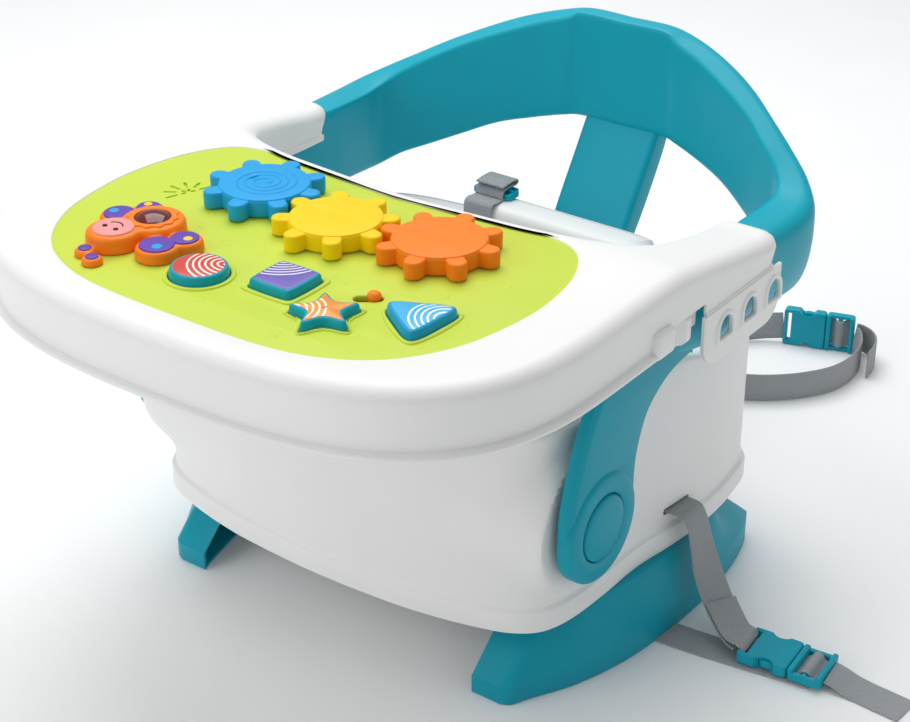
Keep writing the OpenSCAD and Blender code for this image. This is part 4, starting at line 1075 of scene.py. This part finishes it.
# ---- Activity panel --------------------------------------------------------
# The lime plate drops into the tray's pocket. It has a soft lip round each button, a slot
# for the switch, a ring of sound slots and a few low raised motifs.
panel_z = 296
plate_z = 291
post_top = 304.5
boss_low = 265
board_top = 283
button_gap = 0.5
round_at = (-0.074 * 2 * panel_half_w, -191)
square_at = (0.08 * 2 * panel_half_w, -171)
star_at = (0.218 * 2 * panel_half_w, -190)
triangle_at = (0.362 * 2 * panel_half_w, -163)
switch_at = (0.242 * 2 * panel_half_w, -154)
speaker_at = (-112, -106)
gear_pitch = 71
gear_angle = math.radians(11)
yellow_at = (5.5, -99)
blue_at = (yellow_at[0] - gear_pitch * math.cos(gear_angle), yellow_at[1] + gear_pitch * math.sin(gear_angle))
orange_at = (yellow_at[0] + gear_pitch * math.cos(gear_angle), blue_at[1])


def flat(points):
    """Smooth closed outline through flat points, as pairs."""
    return [(p.x, p.y) for p in through([(x, y, 0) for x, y in points], 3, closed=True)]


def polar(r, degrees):
    """A point at a distance and an angle from the origin."""
    return (r * math.cos(math.radians(degrees)), r * math.sin(math.radians(degrees)))


def round_shape(grow):
    """The outline of the round button, grown outwards."""
    return circle((0, 0), 18.4 + grow, 64)


def square_shape(grow):
    """A square with bulging sides and round corners."""
    a = 16.5 + grow
    side = [(a, -0.62 * a), (1.02 * a, 0), (a, 0.62 * a), (0.93 * a, 0.93 * a)]
    turns = [(1, 0), (0, 1), (-1, 0), (0, -1)]
    return flat([(c * x - s * y, s * x + c * y) for c, s in turns for x, y in side])


def star_shape(grow):
    """A blunt five-pointed star."""
    r = 20.5
    points = []
    for turn in range(0, 360, 72):
        points += [polar(r + grow, turn - 94), polar(r + grow, turn - 82), polar(0.6 * r + grow, turn - 54)]
    return flat(points)


def triangle_shape(grow):
    """A triangle with bulging sides and round corners."""
    r = 22
    points = []
    for turn in (0, 120, 240):
        points += [polar(r + grow, turn + 47), polar(r + grow, turn + 65)]
        points.append(polar(0.66 * r + grow, turn + 116))
    return flat(points)


def moved(loop, at, degrees=0):
    """The outline turned, then moved to its place."""
    c, s = polar(1, degrees)
    return [(at[0] + c * x - s * y, at[1] + s * x + c * y) for x, y in loop]


def bar(length, width, steps=5):
    """A slot with round ends, lying along X about the middle of its own frame."""
    r = width / 2
    reach = length / 2 - r
    return arc_points((reach, 0), r, -90, 90, steps) + arc_points((-reach, 0), r, 90, 270, steps)


buttons = [
    ("round", round_at, round_shape),
    ("square", square_at, square_shape),
    ("star", star_at, star_shape),
    ("triangle", triangle_at, triangle_shape),
]
openings = [moved(shape(button_gap), at) for name, at, shape in buttons]
openings.append(moved(bar(18, 8), (switch_at[0] - 2.8, switch_at[1] - 2.1), 36))
edge_line = [(p.x, p.y) for p in panel_outline(2.1)]
top_plate = plate("plate", [edge_line] + openings, plate_z, panel_z, 1.2)
sound_slots = [(12, 9, degrees) for degrees in range(70, 251, 36)]
sound_slots += [(3.5, 4, degrees) for degrees in range(70, 251, 60)]
groove_z = panel_z - 1.6
for reach, length, degrees in sound_slots:
    out = polar(reach, degrees)
    slot_line = moved(bar(length, 2.2), (speaker_at[0] + out[0], speaker_at[1] + out[1]), degrees)
    cut_away(top_plate, [plate("groove", [slot_line], groove_z, panel_z + 2, 0.4)])
panel_parts = [top_plate]
for name, at, shape in buttons:
    lip = [moved(shape(button_gap + grow), at) for grow in (3.2, 0)]
    panel_parts.append(plate("lip", lip, panel_z - 2, panel_z + 1.2, 1.1))
for at in (yellow_at, blue_at, orange_at):
    panel_parts.append(plate("gear_post", [circle(at, 6, 32)], plate_z, post_top, 0.5))
for at in ((-120, -60), (120, -60), (-145, -130), (145, -130), (-60, -216), (48, -214)):
    boss = [circle(at, 4, 24), circle(at, 1.6, 16)]
    panel_parts.append(plate("screw_boss", boss, boss_low, plate_z + 0.5, 0.3))
for at in ((-52, -140), (110, -135), (39, -203)):
    panel_parts.append(plate("board_post", [circle(at, 3, 24)], board_top, plate_z + 0.5, 0.3))


def sphere(middle, r, segments, rings, scale=(1, 1, 1)):
    """A round or flattened ball about a point in millimetres."""
    bpy.ops.mesh.primitive_uv_sphere_add(
        segments=segments, ring_count=rings, radius=r * MM, location=[c * MM for c in middle]
    )
    ball = bpy.context.object
    ball.scale = scale
    bpy.ops.object.transform_apply(location=True, rotation=True, scale=True)
    return ball


# The raised motifs are clusters of low pebbles, three or four together.
motif_places = [
    (-40, -150, 20), (-128, -175, 70), (-2, -214, 10), (98, -196, 40), (140, -150, 80),
    (-12, -150, 50), (52, -150, 0), (110, -128, 30), (-70, -139, 10), (-134, -130, 60),
    (0, -52, 15), (132, -96, 20), (-100, -62, 60), (62, -224, 5), (-84, -230, 25),
]
for x, y, degrees in motif_places:
    for k, (size, reach) in enumerate([(3.4, 0), (1.7, 5.4), (1.7, 5.6), (1.5, 5.4)]):
        out = polar(reach, degrees + 45 * k)
        middle = (x + out[0], y + out[1], panel_z - 0.05)
        panel_parts.append(sphere(middle, size, 20, 10, (1, 0.8, 0.13)))
panel = soften(put_together("panel_plate", panel_parts), 32)

# Lime polypropylene from a finely textured tool: an even colour under a broad, dull sheen.
lime_pp = moulded_plastic("lime_polypropylene", "#cfe14f", "#c6da45", 0.42, 0.5, 0.3)
show_on(panel, "tray", "lime_plastic", lime_pp, "panel_top")

# ---- Gears -----------------------------------------------------------------
# Three loose gears in coloured polypropylene: eight fat round teeth, soft edges and a
# disc that stands a little proud of the teeth. Each has a finger dimple.
gear_low = 296.5
gear_top = 308.5
gear_r = 40
gear_root = 30
tooth_tip = 6
gear_teeth = 8
half_tooth = 180 / gear_teeth
turn_11 = math.degrees(gear_angle)
yellow_phase = 35
blue_phase = half_tooth - turn_11 - (yellow_phase - 180 + turn_11)
orange_phase = half_tooth + 180 + turn_11 - (yellow_phase - turn_11)


def gear_loop(at, phase):
    """Eight round-ended teeth about a root circle."""
    tooth_half = math.degrees(math.asin(tooth_tip / gear_root))
    loop = []
    for k in range(gear_teeth):
        a = phase + 360 * k / gear_teeth
        loop += arc_points(polar(gear_r - tooth_tip, a), tooth_tip, a - 90, a + 90, 12)
        loop += arc_points((0, 0), gear_root, a + tooth_half, a + 360 / gear_teeth - tooth_half, 6)
    return moved(loop, at)


def gear(name, at, phase, dimple_deep):
    """One gear: its toothed rim, the raised disc, the bore for its post and the dimple."""
    bore = circle(at, 6.05, 32)
    rim = plate("rim", [gear_loop(at, phase)], gear_low, gear_top - 0.6, 1.5)
    cut_away(rim, [plate("bore", [bore], gear_low - 2, post_top + 0.1, 0.3)])
    disc = plate("disc", [circle(at, gear_root - 0.6, 72)], gear_top - 1.5, gear_top, 0.6)
    r = 5.2
    ball_r = (r * r + dimple_deep * dimple_deep) / (2 * dimple_deep)
    cut_away(disc, [sphere((at[0] - 12, at[1] + 2, gear_top - dimple_deep + ball_r), ball_r, 48, 32)])
    return put_together(name, [rim, disc])


def spiral_relief(at, z):
    """A flat raised spiral line on the disc."""
    curve = bpy.data.curves.new("spiral", "CURVE")
    curve.dimensions = "3D"
    spline = curve.splines.new("POLY")
    count = 160
    spline.points.add(count)
    for k, point in enumerate(spline.points):
        share = k / count
        x, y = polar(4 + 17 * share, 360 * 3.2 * share)
        point.co = ((at[0] + x) * MM, (at[1] + y) * MM, z * MM, 1)
    curve.bevel_depth = 0.7 * MM
    curve.bevel_resolution = 2
    piece = add_object("spiral", curve)
    bpy.ops.object.convert(target="MESH")
    return piece


# Blue, yellow and orange polypropylene: as dull as the plate, with a little less texture.
gears = [
    ("blue", blue_at, blue_phase, 0.6, "#1ea7e8", "#189fe0"),
    ("yellow", yellow_at, yellow_phase, 0.9, "#ffd800", "#fad000"),
    ("orange", orange_at, orange_phase, 0.9, "#ff8a1e", "#fa8015"),
]
for colour, at, phase, deep, tone, deep_tone in gears:
    body = gear(colour + "_gear_moulding", at, phase, deep)
    if colour == "blue":
        body = put_together(colour + "_gear_moulding", [body, spiral_relief(at, gear_top - 0.25)])
    finish = moulded_plastic(colour + "_polypropylene", tone, deep_tone, 0.42, 0.5, 0.25)
    show_on(soften(body, 38), colour + "_gear", colour + "_plastic", finish, colour + "_gear")


# ---- Press buttons ---------------------------------------------------------
# Four buttons in teal and blue ABS taper up out of their lips. Each wears a domed label,
# printed with plain arcs and dots under a clear gloss.
flange_top = 290.7
button_top = 303.5


def centred(loop, scale, at):
    """A loop about the origin, scaled and moved to its place."""
    return [(at[0] + x * scale, at[1] + y * scale) for x, y in loop]


def cap_height(scale):
    """The crown of a button: its height at a share of the way out from the middle."""
    return button_top - 0.2 - 1.1 * scale * scale


def button_body(name, at, shape):
    """The hidden flange, the tapering side and the crowned top."""
    flange = [(-2.5, flange_top - 2.2), (-2.5, flange_top), (0, flange_top + 0.01)]
    side = flange + [(0.05, panel_z + 1), (0.7, 300.5), (1, 301.4), (1.7, 302.1), (2.4, cap_height(1))]
    rings = [shrunk([(x, y, z) for x, y in moved(shape(0), at)], inset) for inset, z in side]
    crown = [(x - at[0], y - at[1]) for x, y, z in rings[-1]]
    rings += [[(x, y, cap_height(s)) for x, y in centred(crown, s, at)] for s in (0.85, 0.6, 0.35, 0.12)]
    return soften(loft(name + "_button_cap", rings), 40), crown


def button_label(name, at, crown):
    """A thin label that follows the crown."""
    stack = [(0.12, -0.1), (0.94, -0.1), (0.97, 0.1)]
    stack += [(scale, 0.16) for scale in (0.95, 0.85, 0.6, 0.35, 0.12)]
    rings = [[(x, y, cap_height(k) + above) for x, y in centred(crown, k, at)] for k, above in stack]
    return soften(loft(name + "_button_label", rings), 40)


def printed_label(name, ground, ink, line, centre, spacing):
    """Glossy printed film: arcs in a light line over one half, dots of ink over the other."""
    material, shader, place = new_material(name)
    middle = {"Location": (-centre[0] * MM, -centre[1] * MM, -button_top * MM)}
    spot = add_node(material, "ShaderNodeMapping", middle, {"Vector": (place, "Object")})
    reach = (add_node(material, "ShaderNodeVectorMath", {"operation": "LENGTH"}, {0: (spot, 0)}), 1)
    arcs = maths(material, "GREATER_THAN", (waves(material, reach, spacing), 0), 0.45)
    near = maths(material, "LESS_THAN", reach, 24 * MM)
    arcs_near = maths(material, "MULTIPLY", (arcs, 0), (near, 0))
    dot_scale = {"Scale": 1 / (6.5 * MM), "Randomness": 0.15}
    dots = add_node(material, "ShaderNodeTexVoronoi", dot_scale, {"Vector": (place, "Object")})
    in_dot = maths(material, "LESS_THAN", (dots, "Distance"), 0.3)
    far = maths(material, "SUBTRACT", 1, (near, 0))
    dots_far = maths(material, "MULTIPLY", (in_dot, 0), (far, 0))
    under = blend(material, ground, ink, (dots_far, 0))
    over_tone = {"data_type": "RGBA", 7: linear(line)}
    over = add_node(material, "ShaderNodeMix", over_tone, {0: (arcs_near, 0), 6: (under, 2)})
    join_nodes(material, over, 2, shader, "Base Color")
    relief(material, shader, (noise(material, place, 900), "Fac"), 0.12, 0.03)
    tune(shader, {"Roughness": 0.3, "IOR": 1.5})
    return material


# Blue ABS from the same kind of tool as the teal caps, with the same satin skin.
blue_abs = moulded_plastic("blue_abs", "#119fd2", "#0c96c8", 0.4, 0.6, 0.3)
label_looks = {
    "round": ("#d8412f", "#f08a3a", "#fff4ea", "lens_red", (12, 10)),
    "square": ("#6a58b8", "#9b8ad6", "#f4f0ff", "purple_plastic", (-14, 16)),
    "star": ("#f5962c", "#ffc83c", "#fff6e0", "orange_plastic", (-16, -14)),
    "triangle": ("#36b4ea", "#8fd6f6", "#f2fbff", "blue_plastic", (18, 4)),
}
for name, at, shape in buttons:
    cap, crown = button_body(name, at, shape)
    finish, slot = (blue_abs, "blue_plastic") if name == "triangle" else (teal_abs, "teal_plastic")
    show_on(cap, name + "_button", slot, finish, name + "_button")
    ground, ink, line, slot, away = label_looks[name]
    film = printed_label(name + "_label_film", ground, ink, line, (at[0] + away[0], at[1] + away[1]), 3.6)
    show_on(button_label(name, at, crown), name + "_button", slot, film)


# ---- Mode switch -----------------------------------------------------------
# A small slider in orange polypropylene: a round thumb knob that comes up through the
# plate's slot, on a square foot that hides underneath.


def turned(name, at, profile, count=48):
    """A round piece about an upright axis, from pairs of radius and height."""
    return loft(name, [[(x, y, z) for x, y in circle(at, r, count)] for r, z in profile])


low, high = [(switch_at[0] + reach, switch_at[1] + reach) for reach in (-5, 5)]
foot_block = block("foot", (*low, flange_top - 2), (*high, flange_top), 0.5, 2)
knob_profile = [(3.8, flange_top - 1), (3.8, 296), (4.3, 297), (4.4, 298)]
knob_profile += [(3.9, 299.2), (2.9, 300.1), (1.6, 300.6), (0.6, 300.7)]
knob = turned("knob", switch_at, knob_profile)
switch = soften(put_together("mode_switch_knob", [foot_block, knob]), 40)
orange_pp = bpy.data.materials["orange_polypropylene"]
show_on(switch, "mode_switch", "orange_plastic", orange_pp, "mode_switch")

# ---- Toy -------------------------------------------------------------------
# A light-up bug stands on the panel, one soft moulding in orange polypropylene: a head, a
# round back with a scalloped collar, four wings and two feelers, blended where they meet.
toy_top = panel_z + 11
wing_top = panel_z + 8
toy_head = (-95, -190)
toy_back = (-86, -165)
lens_r = 11.4
face_r = 13
wing_lobes = [(-61, -188, 14), (-54, -171, 12), (-112, -168, 13), (-103, -151, 11)]
feelers = [(-98, -212), (-86, -218)]


def lobe(at, r, top, edge):
    """A puck that spreads a little downwards, its upper edge rounded over."""
    profile = [(r, panel_z), (r - 0.2, panel_z + 1.5), (r - 0.6, top - edge)]
    for degrees in (22, 45, 67, 85):
        out, up = polar(edge, degrees)
        profile.append((r - 0.6 - edge + out, top - edge + up))
    profile.append((1, top))
    return turned("lobe", at, profile)


lobes = [lobe(toy_head, 18, toy_top, 3), lobe(toy_back, 21, toy_top, 3.4)]
lobes += [lobe((x, y), r, wing_top, 2) for x, y, r in wing_lobes]
lobes += [lobe(at, 7, panel_z + 5, 2) for at in feelers]
bug = put_together("bug_body", lobes)
apply_modifier(bug, "REMESH", mode="VOXEL", voxel_size=0.7 * MM)
apply_modifier(bug, "SMOOTH", factor=0.6, iterations=26)
pocket = [(lens_r, toy_top - 4), (lens_r, toy_top + 5)]
cut_away(bug, [turned("pocket", toy_back, pocket)])
scallops = [polar(15.6 + 0.9 * math.cos(math.radians(12 * a)), a) for a in range(0, 360, 3)]
collar_loop = [(toy_back[0] + x, toy_back[1] + y) for x, y in scallops]
collar_hole = circle(toy_back, lens_r, 64)
collar = plate("collar", [collar_loop, collar_hole], toy_top - 1, toy_top + 0.9, 0.6)
bug = soften(put_together("bug_body", [bug, collar]), 50)
show_on(bug, "tray", "orange_plastic", orange_pp, "toy_body")

# The wings carry inlays in purple ABS with plain yellow and blue dots.
feeler_inlay = [(4.2, panel_z + 4.5), (4, panel_z + 5.4), (3.2, panel_z + 5.7), (1, panel_z + 5.8)]
inlays = [turned("inlay", at, feeler_inlay, 32) for at in feelers]
dots = {"yellow": [], "blue": []}
for k, (x, y, r) in enumerate(wing_lobes):
    inlay_edge = [(r - 3, wing_top - 0.5), (r - 3.1, wing_top + 0.5), (r - 3.5, wing_top + 0.85)]
    inlay_edge += [(r - 4.4, wing_top + 1), (1, wing_top + 1)]
    inlays.append(turned("inlay", (x, y), inlay_edge))
    away = Vector((x - toy_back[0], y - toy_back[1])).normalized()
    reach = 0.3 * r
    dot_at = (x + away.x * reach, y + away.y * reach)
    dot_r = 0.24 * r
    dot_edge = [(dot_r, wing_top + 0.8), (dot_r, wing_top + 1.1)]
    dot_edge += [(dot_r - 0.4, wing_top + 1.35), (0.5, wing_top + 1.4)]
    dots["yellow" if k % 2 else "blue"].append(turned("dot", dot_at, dot_edge))

# Purple ABS: smoother and a little glossier than the orange body round it.
purple_abs = moulded_plastic("purple_abs", "#6a4ab4", "#6243aa", 0.36, 0.5, 0.2)
wings = soften(put_together("bug_wing_inlays", inlays), 40)
show_on(wings, "tray", "purple_plastic", purple_abs, "toy_wings")
for colour, spots in dots.items():
    spot_finish = bpy.data.materials[colour + "_polypropylene"]
    show_on(soften(put_together(colour + "_dots", spots), 40), "tray", colour + "_plastic", spot_finish)

# The face is a pink disc. Two round eyes and a smile stand a little proud of it.
face_edge = [(face_r, toy_top - 0.5), (face_r, toy_top + 0.4), (face_r - 0.3, toy_top + 0.8)]
face_edge += [(face_r - 1, toy_top + 1), (0.5, toy_top + 1)]
face = soften(turned("bug_face", toy_head, face_edge), 40)

# Pink ABS: a pale satin skin with hardly any texture.
pink_abs = moulded_plastic("pink_abs", "#f6a49e", "#f09a94", 0.4, 0.5, 0.2)
show_on(face, "tray", "pink_plastic", pink_abs, "toy_face")
eye = [(1.7, toy_top + 0.8), (1.6, toy_top + 1.3), (1.1, toy_top + 1.7), (0.3, toy_top + 1.8)]
marks = [turned("eye", (toy_head[0] + x, toy_head[1] - 2.5), eye, 24) for x in (-4.6, 4.6)]
smile_line = [polar(6.6, degrees) for degrees in range(35, 146, 5)]
smile_out = [(toy_head[0] + x, toy_head[1] - 0.5 + y) for x, y in smile_line]
smile_in = [(toy_head[0] + 0.86 * x, toy_head[1] - 0.5 + 0.86 * y) for x, y in smile_line]
marks.append(plate("smile", [smile_out + smile_in[::-1]], toy_top + 0.8, toy_top + 1.25, 0.15))

# Black ink over the eyes and the smile: a thin, smooth film, almost without texture.
ink = moulded_plastic("black_ink", "#2a2024", "#241b20", 0.35, 0.5, 0.1)
show_on(soften(put_together("bug_face_marks", marks), 40), "tray", "speaker_black", ink)

# The lens is a dark red dome, moulded in translucent polycarbonate with fine rings inside.
lens_rise = 4
lens_ball = (lens_r * lens_r + lens_rise * lens_rise) / (2 * lens_rise)
lens_edge = [(lens_r - 0.1, toy_top - 4)]
for share in (1, 0.96, 0.9, 0.8, 0.65, 0.5, 0.35, 0.2, 0.06):
    r = (lens_r - 0.1) * share
    lens_edge.append((r, toy_top + lens_rise - lens_ball + math.sqrt(lens_ball * lens_ball - r * r)))
lens = soften(turned("bug_lens", toy_back, lens_edge, 64), 40)
red_pc, red_shader, red_place = new_material("red_polycarbonate")
lens_middle = {"Location": (-toy_back[0] * MM, -toy_back[1] * MM, 0), "Scale": (1, 1, 0)}
lens_spot = add_node(red_pc, "ShaderNodeMapping", lens_middle, {"Vector": (red_place, "Object")})
ring_reach = add_node(red_pc, "ShaderNodeVectorMath", {"operation": "LENGTH"}, {0: (lens_spot, 0)})
ring_tone = stretch(red_pc, (waves(red_pc, (ring_reach, 1), 1.4), 0), (-1, 1))
red_tone = blend(red_pc, "#4a1010", "#8c2018", (ring_tone, "Result"))
join_nodes(red_pc, red_tone, 2, red_shader, "Base Color")
tune(red_shader, {"Roughness": 0.08, "IOR": 1.58, "Transmission Weight": 0.15})
show_on(lens, "tray", "lens_red", red_pc, "toy_lens")

# ---- Buckles ---------------------------------------------------------------
# Side-release buckles in teal acetal. The socket has an arched cut-out in each side, where
# the plug's sprung arms show, and the plug ends in a two-bar slide for the free tape.
buckle_w = 34
socket_end = 36
socket_wall = 2.1
plug_start = 36.3
plug_end = 60.3
half_w = buckle_w / 2
half_t = buckle_t / 2


def slab(name, x0, x1, half, low, high, corner, edge, holes=()):
    """A plate along X with rounded corners and square holes, given as pairs of X."""
    loop = []
    for x, y, start in ((x1, half, 0), (x0, half, 90), (x0, -half, 180), (x1, -half, 270)):
        towards = -1 if x == x1 else 1
        centre = (x + towards * corner, y - math.copysign(corner, y))
        loop += arc_points(centre, corner, start, start + 90, 6)
    loops = [loop]
    for a, b in holes:
        reach = web_w / 2 + 1
        loops.append([(a, -reach), (b, -reach), (b, reach), (a, reach)])
    return plate(name, loops, low, high, edge)


def place(piece, at, turn, roll):
    """Turns a buckle half from its own frame and moves it to its place."""
    where = Matrix.Translation(Vector(at) * MM)
    turned_by = Matrix.Rotation(math.radians(turn), 4, "Z") @ Matrix.Rotation(math.radians(roll), 4, "X")
    piece.data.transform(where @ turned_by)
    return piece


def buckle_socket(name, at, turn, roll):
    """The socket: a hollow sleeve with a tape slot and an arched cut-out in each side."""
    shell = slab("socket", 0, socket_end, half_w, -half_t, half_t, 3, 1.5, [(3, 6.4)])
    low = (10, 3 - half_w, socket_wall - half_t)
    cutters = [block("mouth", low, (socket_end + 1, half_w - 3, half_t - socket_wall))]
    arch = [(8, -half_t - 1), (8, half_t + 1)]
    cutters += [turned("arch", (20, side * (half_w + 3.6)), arch) for side in (-1, 1)]
    cut_away(shell, cutters)
    shell.name = name
    return soften(place(shell, at, turn, roll), 32)


sprung_arm = [(37, 12.5), (27, 12.4), (25.4, 14.4), (22, 15.6), (18, 15.2)]
sprung_arm += [(15, 12.6), (14.2, 10.5), (16, 8.6), (37, 8.8)]


def buckle_plug(name, at, turn, roll):
    """The plug: its head with two slots and bars, the tongue and the sprung arms."""
    head = slab("head", plug_start, plug_end, half_w, -half_t, half_t - 2.2, 3, 1.5, [(41, 46), (50, 56)])
    bars = [block("bar", (46.2, -half_w + 2, 0), (49.8, half_w - 2, 2.6), 1.2)]
    for x0, x1 in ((56.4, plug_end), (plug_start, 40.6)):
        bars.append(block("bar", (x0, 0.4 - half_w, 0), (x1, half_w - 0.4, half_t), 1.4))
    arms = [block("tongue", (14, -2, -2.2), (plug_start + 1, 2, 2.2), 0.6)]
    for side in (-1, 1):
        arms.append(plate("arm", [flat([(x, side * y) for x, y in sprung_arm])], -2.2, 2.2, 0.6))
    body = put_together(name, [head] + bars + arms)
    return soften(place(body, at, turn, roll), 32)


# Teal acetal, coloured in the mass: a smooth, slippery skin that is glossier than the ABS.
acetal = moulded_plastic("teal_acetal", "#00a6bb", "#009eb3", 0.33, 0.5, 0.25)
side_at = (241, 35, side_buckle_z)
rear_at = (50, 446, half_w)
buckles = [
    ("side_buckle_socket", buckle_socket, side_at, 5, 0),
    ("side_buckle_plug", buckle_plug, side_at, 5, 0),
    ("rear_buckle_socket", buckle_socket, rear_at, 17, 90),
    ("rear_buckle_plug", buckle_plug, rear_at, 17, 90),
]
over_bar = [(40.4, 0, -2.2), (43.4, 0, -0.6), (45.6, 0, 2.4), (48, 0, 3.5)]
over_bar += [(50.4, 0, 2.4), (52.6, 0, -0.6), (57, 0, -2.4)]
for name, make, at, turn, roll in buckles:
    strap_pieces[name] = make("acetal_" + name, at, turn, roll)
    show_on(strap_pieces[name], "seat", "teal_plastic", acetal, name)
    if make == buckle_plug:
        loop_name = name.replace("plug", "loop")
        tape_loop = webbing(loop_name, over_bar, [(0, 1, 0)])[0]
        show_on(place(tape_loop, at, turn, roll), "seat", "webbing", tape)
        strap_pieces[loop_name] = tape_loop

# The tape is folded back through each socket and over the waist slide, and sewn down.
side_fold = [(243.6, 35.3, 4.4), (244.6, 35.4, 8.5), (241, 35.2, 11.8), (232, 37.6, 12.4)]
side_fold += [(221.8, 42.6, 18.4), (214, 46.6, 24.6)]
side_fold_across = [(-0.09, 1, 0), (-0.09, 1, 0), (0, 1, 0), (0.2, 1, 0), (0.3, 1, 0), (0.33, 1, 0)]
waist_fold = [(165, 208.6), (166.6, 212.4), (170, 214.6), (178, 214.6), (184, 214.2)]
waist_fold += [(186.4, 216), (184, 217.9), (174, 218.2), (166, 217.4)]
folds = [
    ("side_fold", side_fold, side_fold_across),
    ("waist_fold", [(-waist_x, y, z) for y, z in waist_fold], [(1, 0, 0)]),
]
for name, route, across in folds:
    strap_pieces[name] = webbing(name, route, across)[0]
    show_on(strap_pieces[name], "seat", "webbing", tape)

# The waist tape ends in a short two-slot slide.
slide_x = -waist_x
slide_low = 206.3
slide_top = 213
slide = slab("slide", 168, 182, half_w, slide_low, slide_top - 1.5, 2.5, 1.3, [(170, 174), (176, 180)])
swap_x_and_y = Matrix(((0, 1, 0, 0), (1, 0, 0, 0), (0, 0, 1, 0), (0, 0, 0, 1)))
slide.data.transform(Matrix.Translation((slide_x * MM, 0, 0)) @ swap_x_and_y)
slide_parts = [slide]
for y0, y1, edge in ((174.2, 175.8, 0.7), (180, 182, 0.9)):
    low = (slide_x - half_w + 1, y0, slide_low + 1)
    slide_parts.append(block("bar", low, (slide_x + half_w - 1, y1, slide_top), edge))
slide = soften(put_together("acetal_waist_slide", slide_parts), 32)
show_on(slide, "seat", "teal_plastic", acetal, "waist_adjuster")

# ---- Pieces kept as they are -----------------------------------------------
# Turned and pressed parts, the closed housing and what is inside it have their right shape
# already. Each gets its real finish on its own material slots.

# Zinc-plated steel: a pale grey metal whose gloss changes in small patches.
zinc, zinc_shader, zinc_place = new_material("zinc_plated_steel")
zinc_gloss = stretch(zinc, (noise(zinc, zinc_place, 700, 3), "Fac"), (0, 1), (0.28, 0.4))
join_nodes(zinc, zinc_gloss, "Result", zinc_shader, "Roughness")
tune(zinc_shader, {"Base Color": linear("#c4c6c9"), "Metallic": 1})

# The board's glossy green lacquer, the speaker's dull pressed paper, the cells' printed
# sleeve and the matt rubber of the domes all look like a coloured skin.
solder_mask = moulded_plastic("green_solder_mask", "#1c6b3a", "#176032", 0.3, 0.4, 0.15)
black_paper = moulded_plastic("black_pressed_paper", "#232325", "#1c1c1e", 0.7, 0.7, 0.5)
cell_sleeve = moulded_plastic("printed_cell_sleeve", "#bf9f4c", "#b59544", 0.3, 0.5, 0.1)
silicone = moulded_plastic("grey_silicone", "#c6c8ca", "#bcbec0", 0.6, 0.5, 0.3)
kept = [
    (zinc, ["foot_screws", "left_hub_pin", "right_hub_pin", "left_hub_spring", "right_hub_spring"]),
    (zinc, ["frame_screws", "panel_screws"]),
    (white_pp, ["base_underside"]),
    (lime_pp, ["panel_housing", "battery_door"]),
    (cell_sleeve, ["batteries"]),
    (solder_mask, ["circuit_board"]),
    (black_paper, ["speaker"]),
    (silicone, ["round_dome", "square_dome", "star_dome", "triangle_dome"]),
]
for finish, names in kept:
    for name in names:
        part = bpy.data.objects[name]
        for own_slot in part.material_slots:
            own_slot.link = "OBJECT"
            own_slot.material = finish
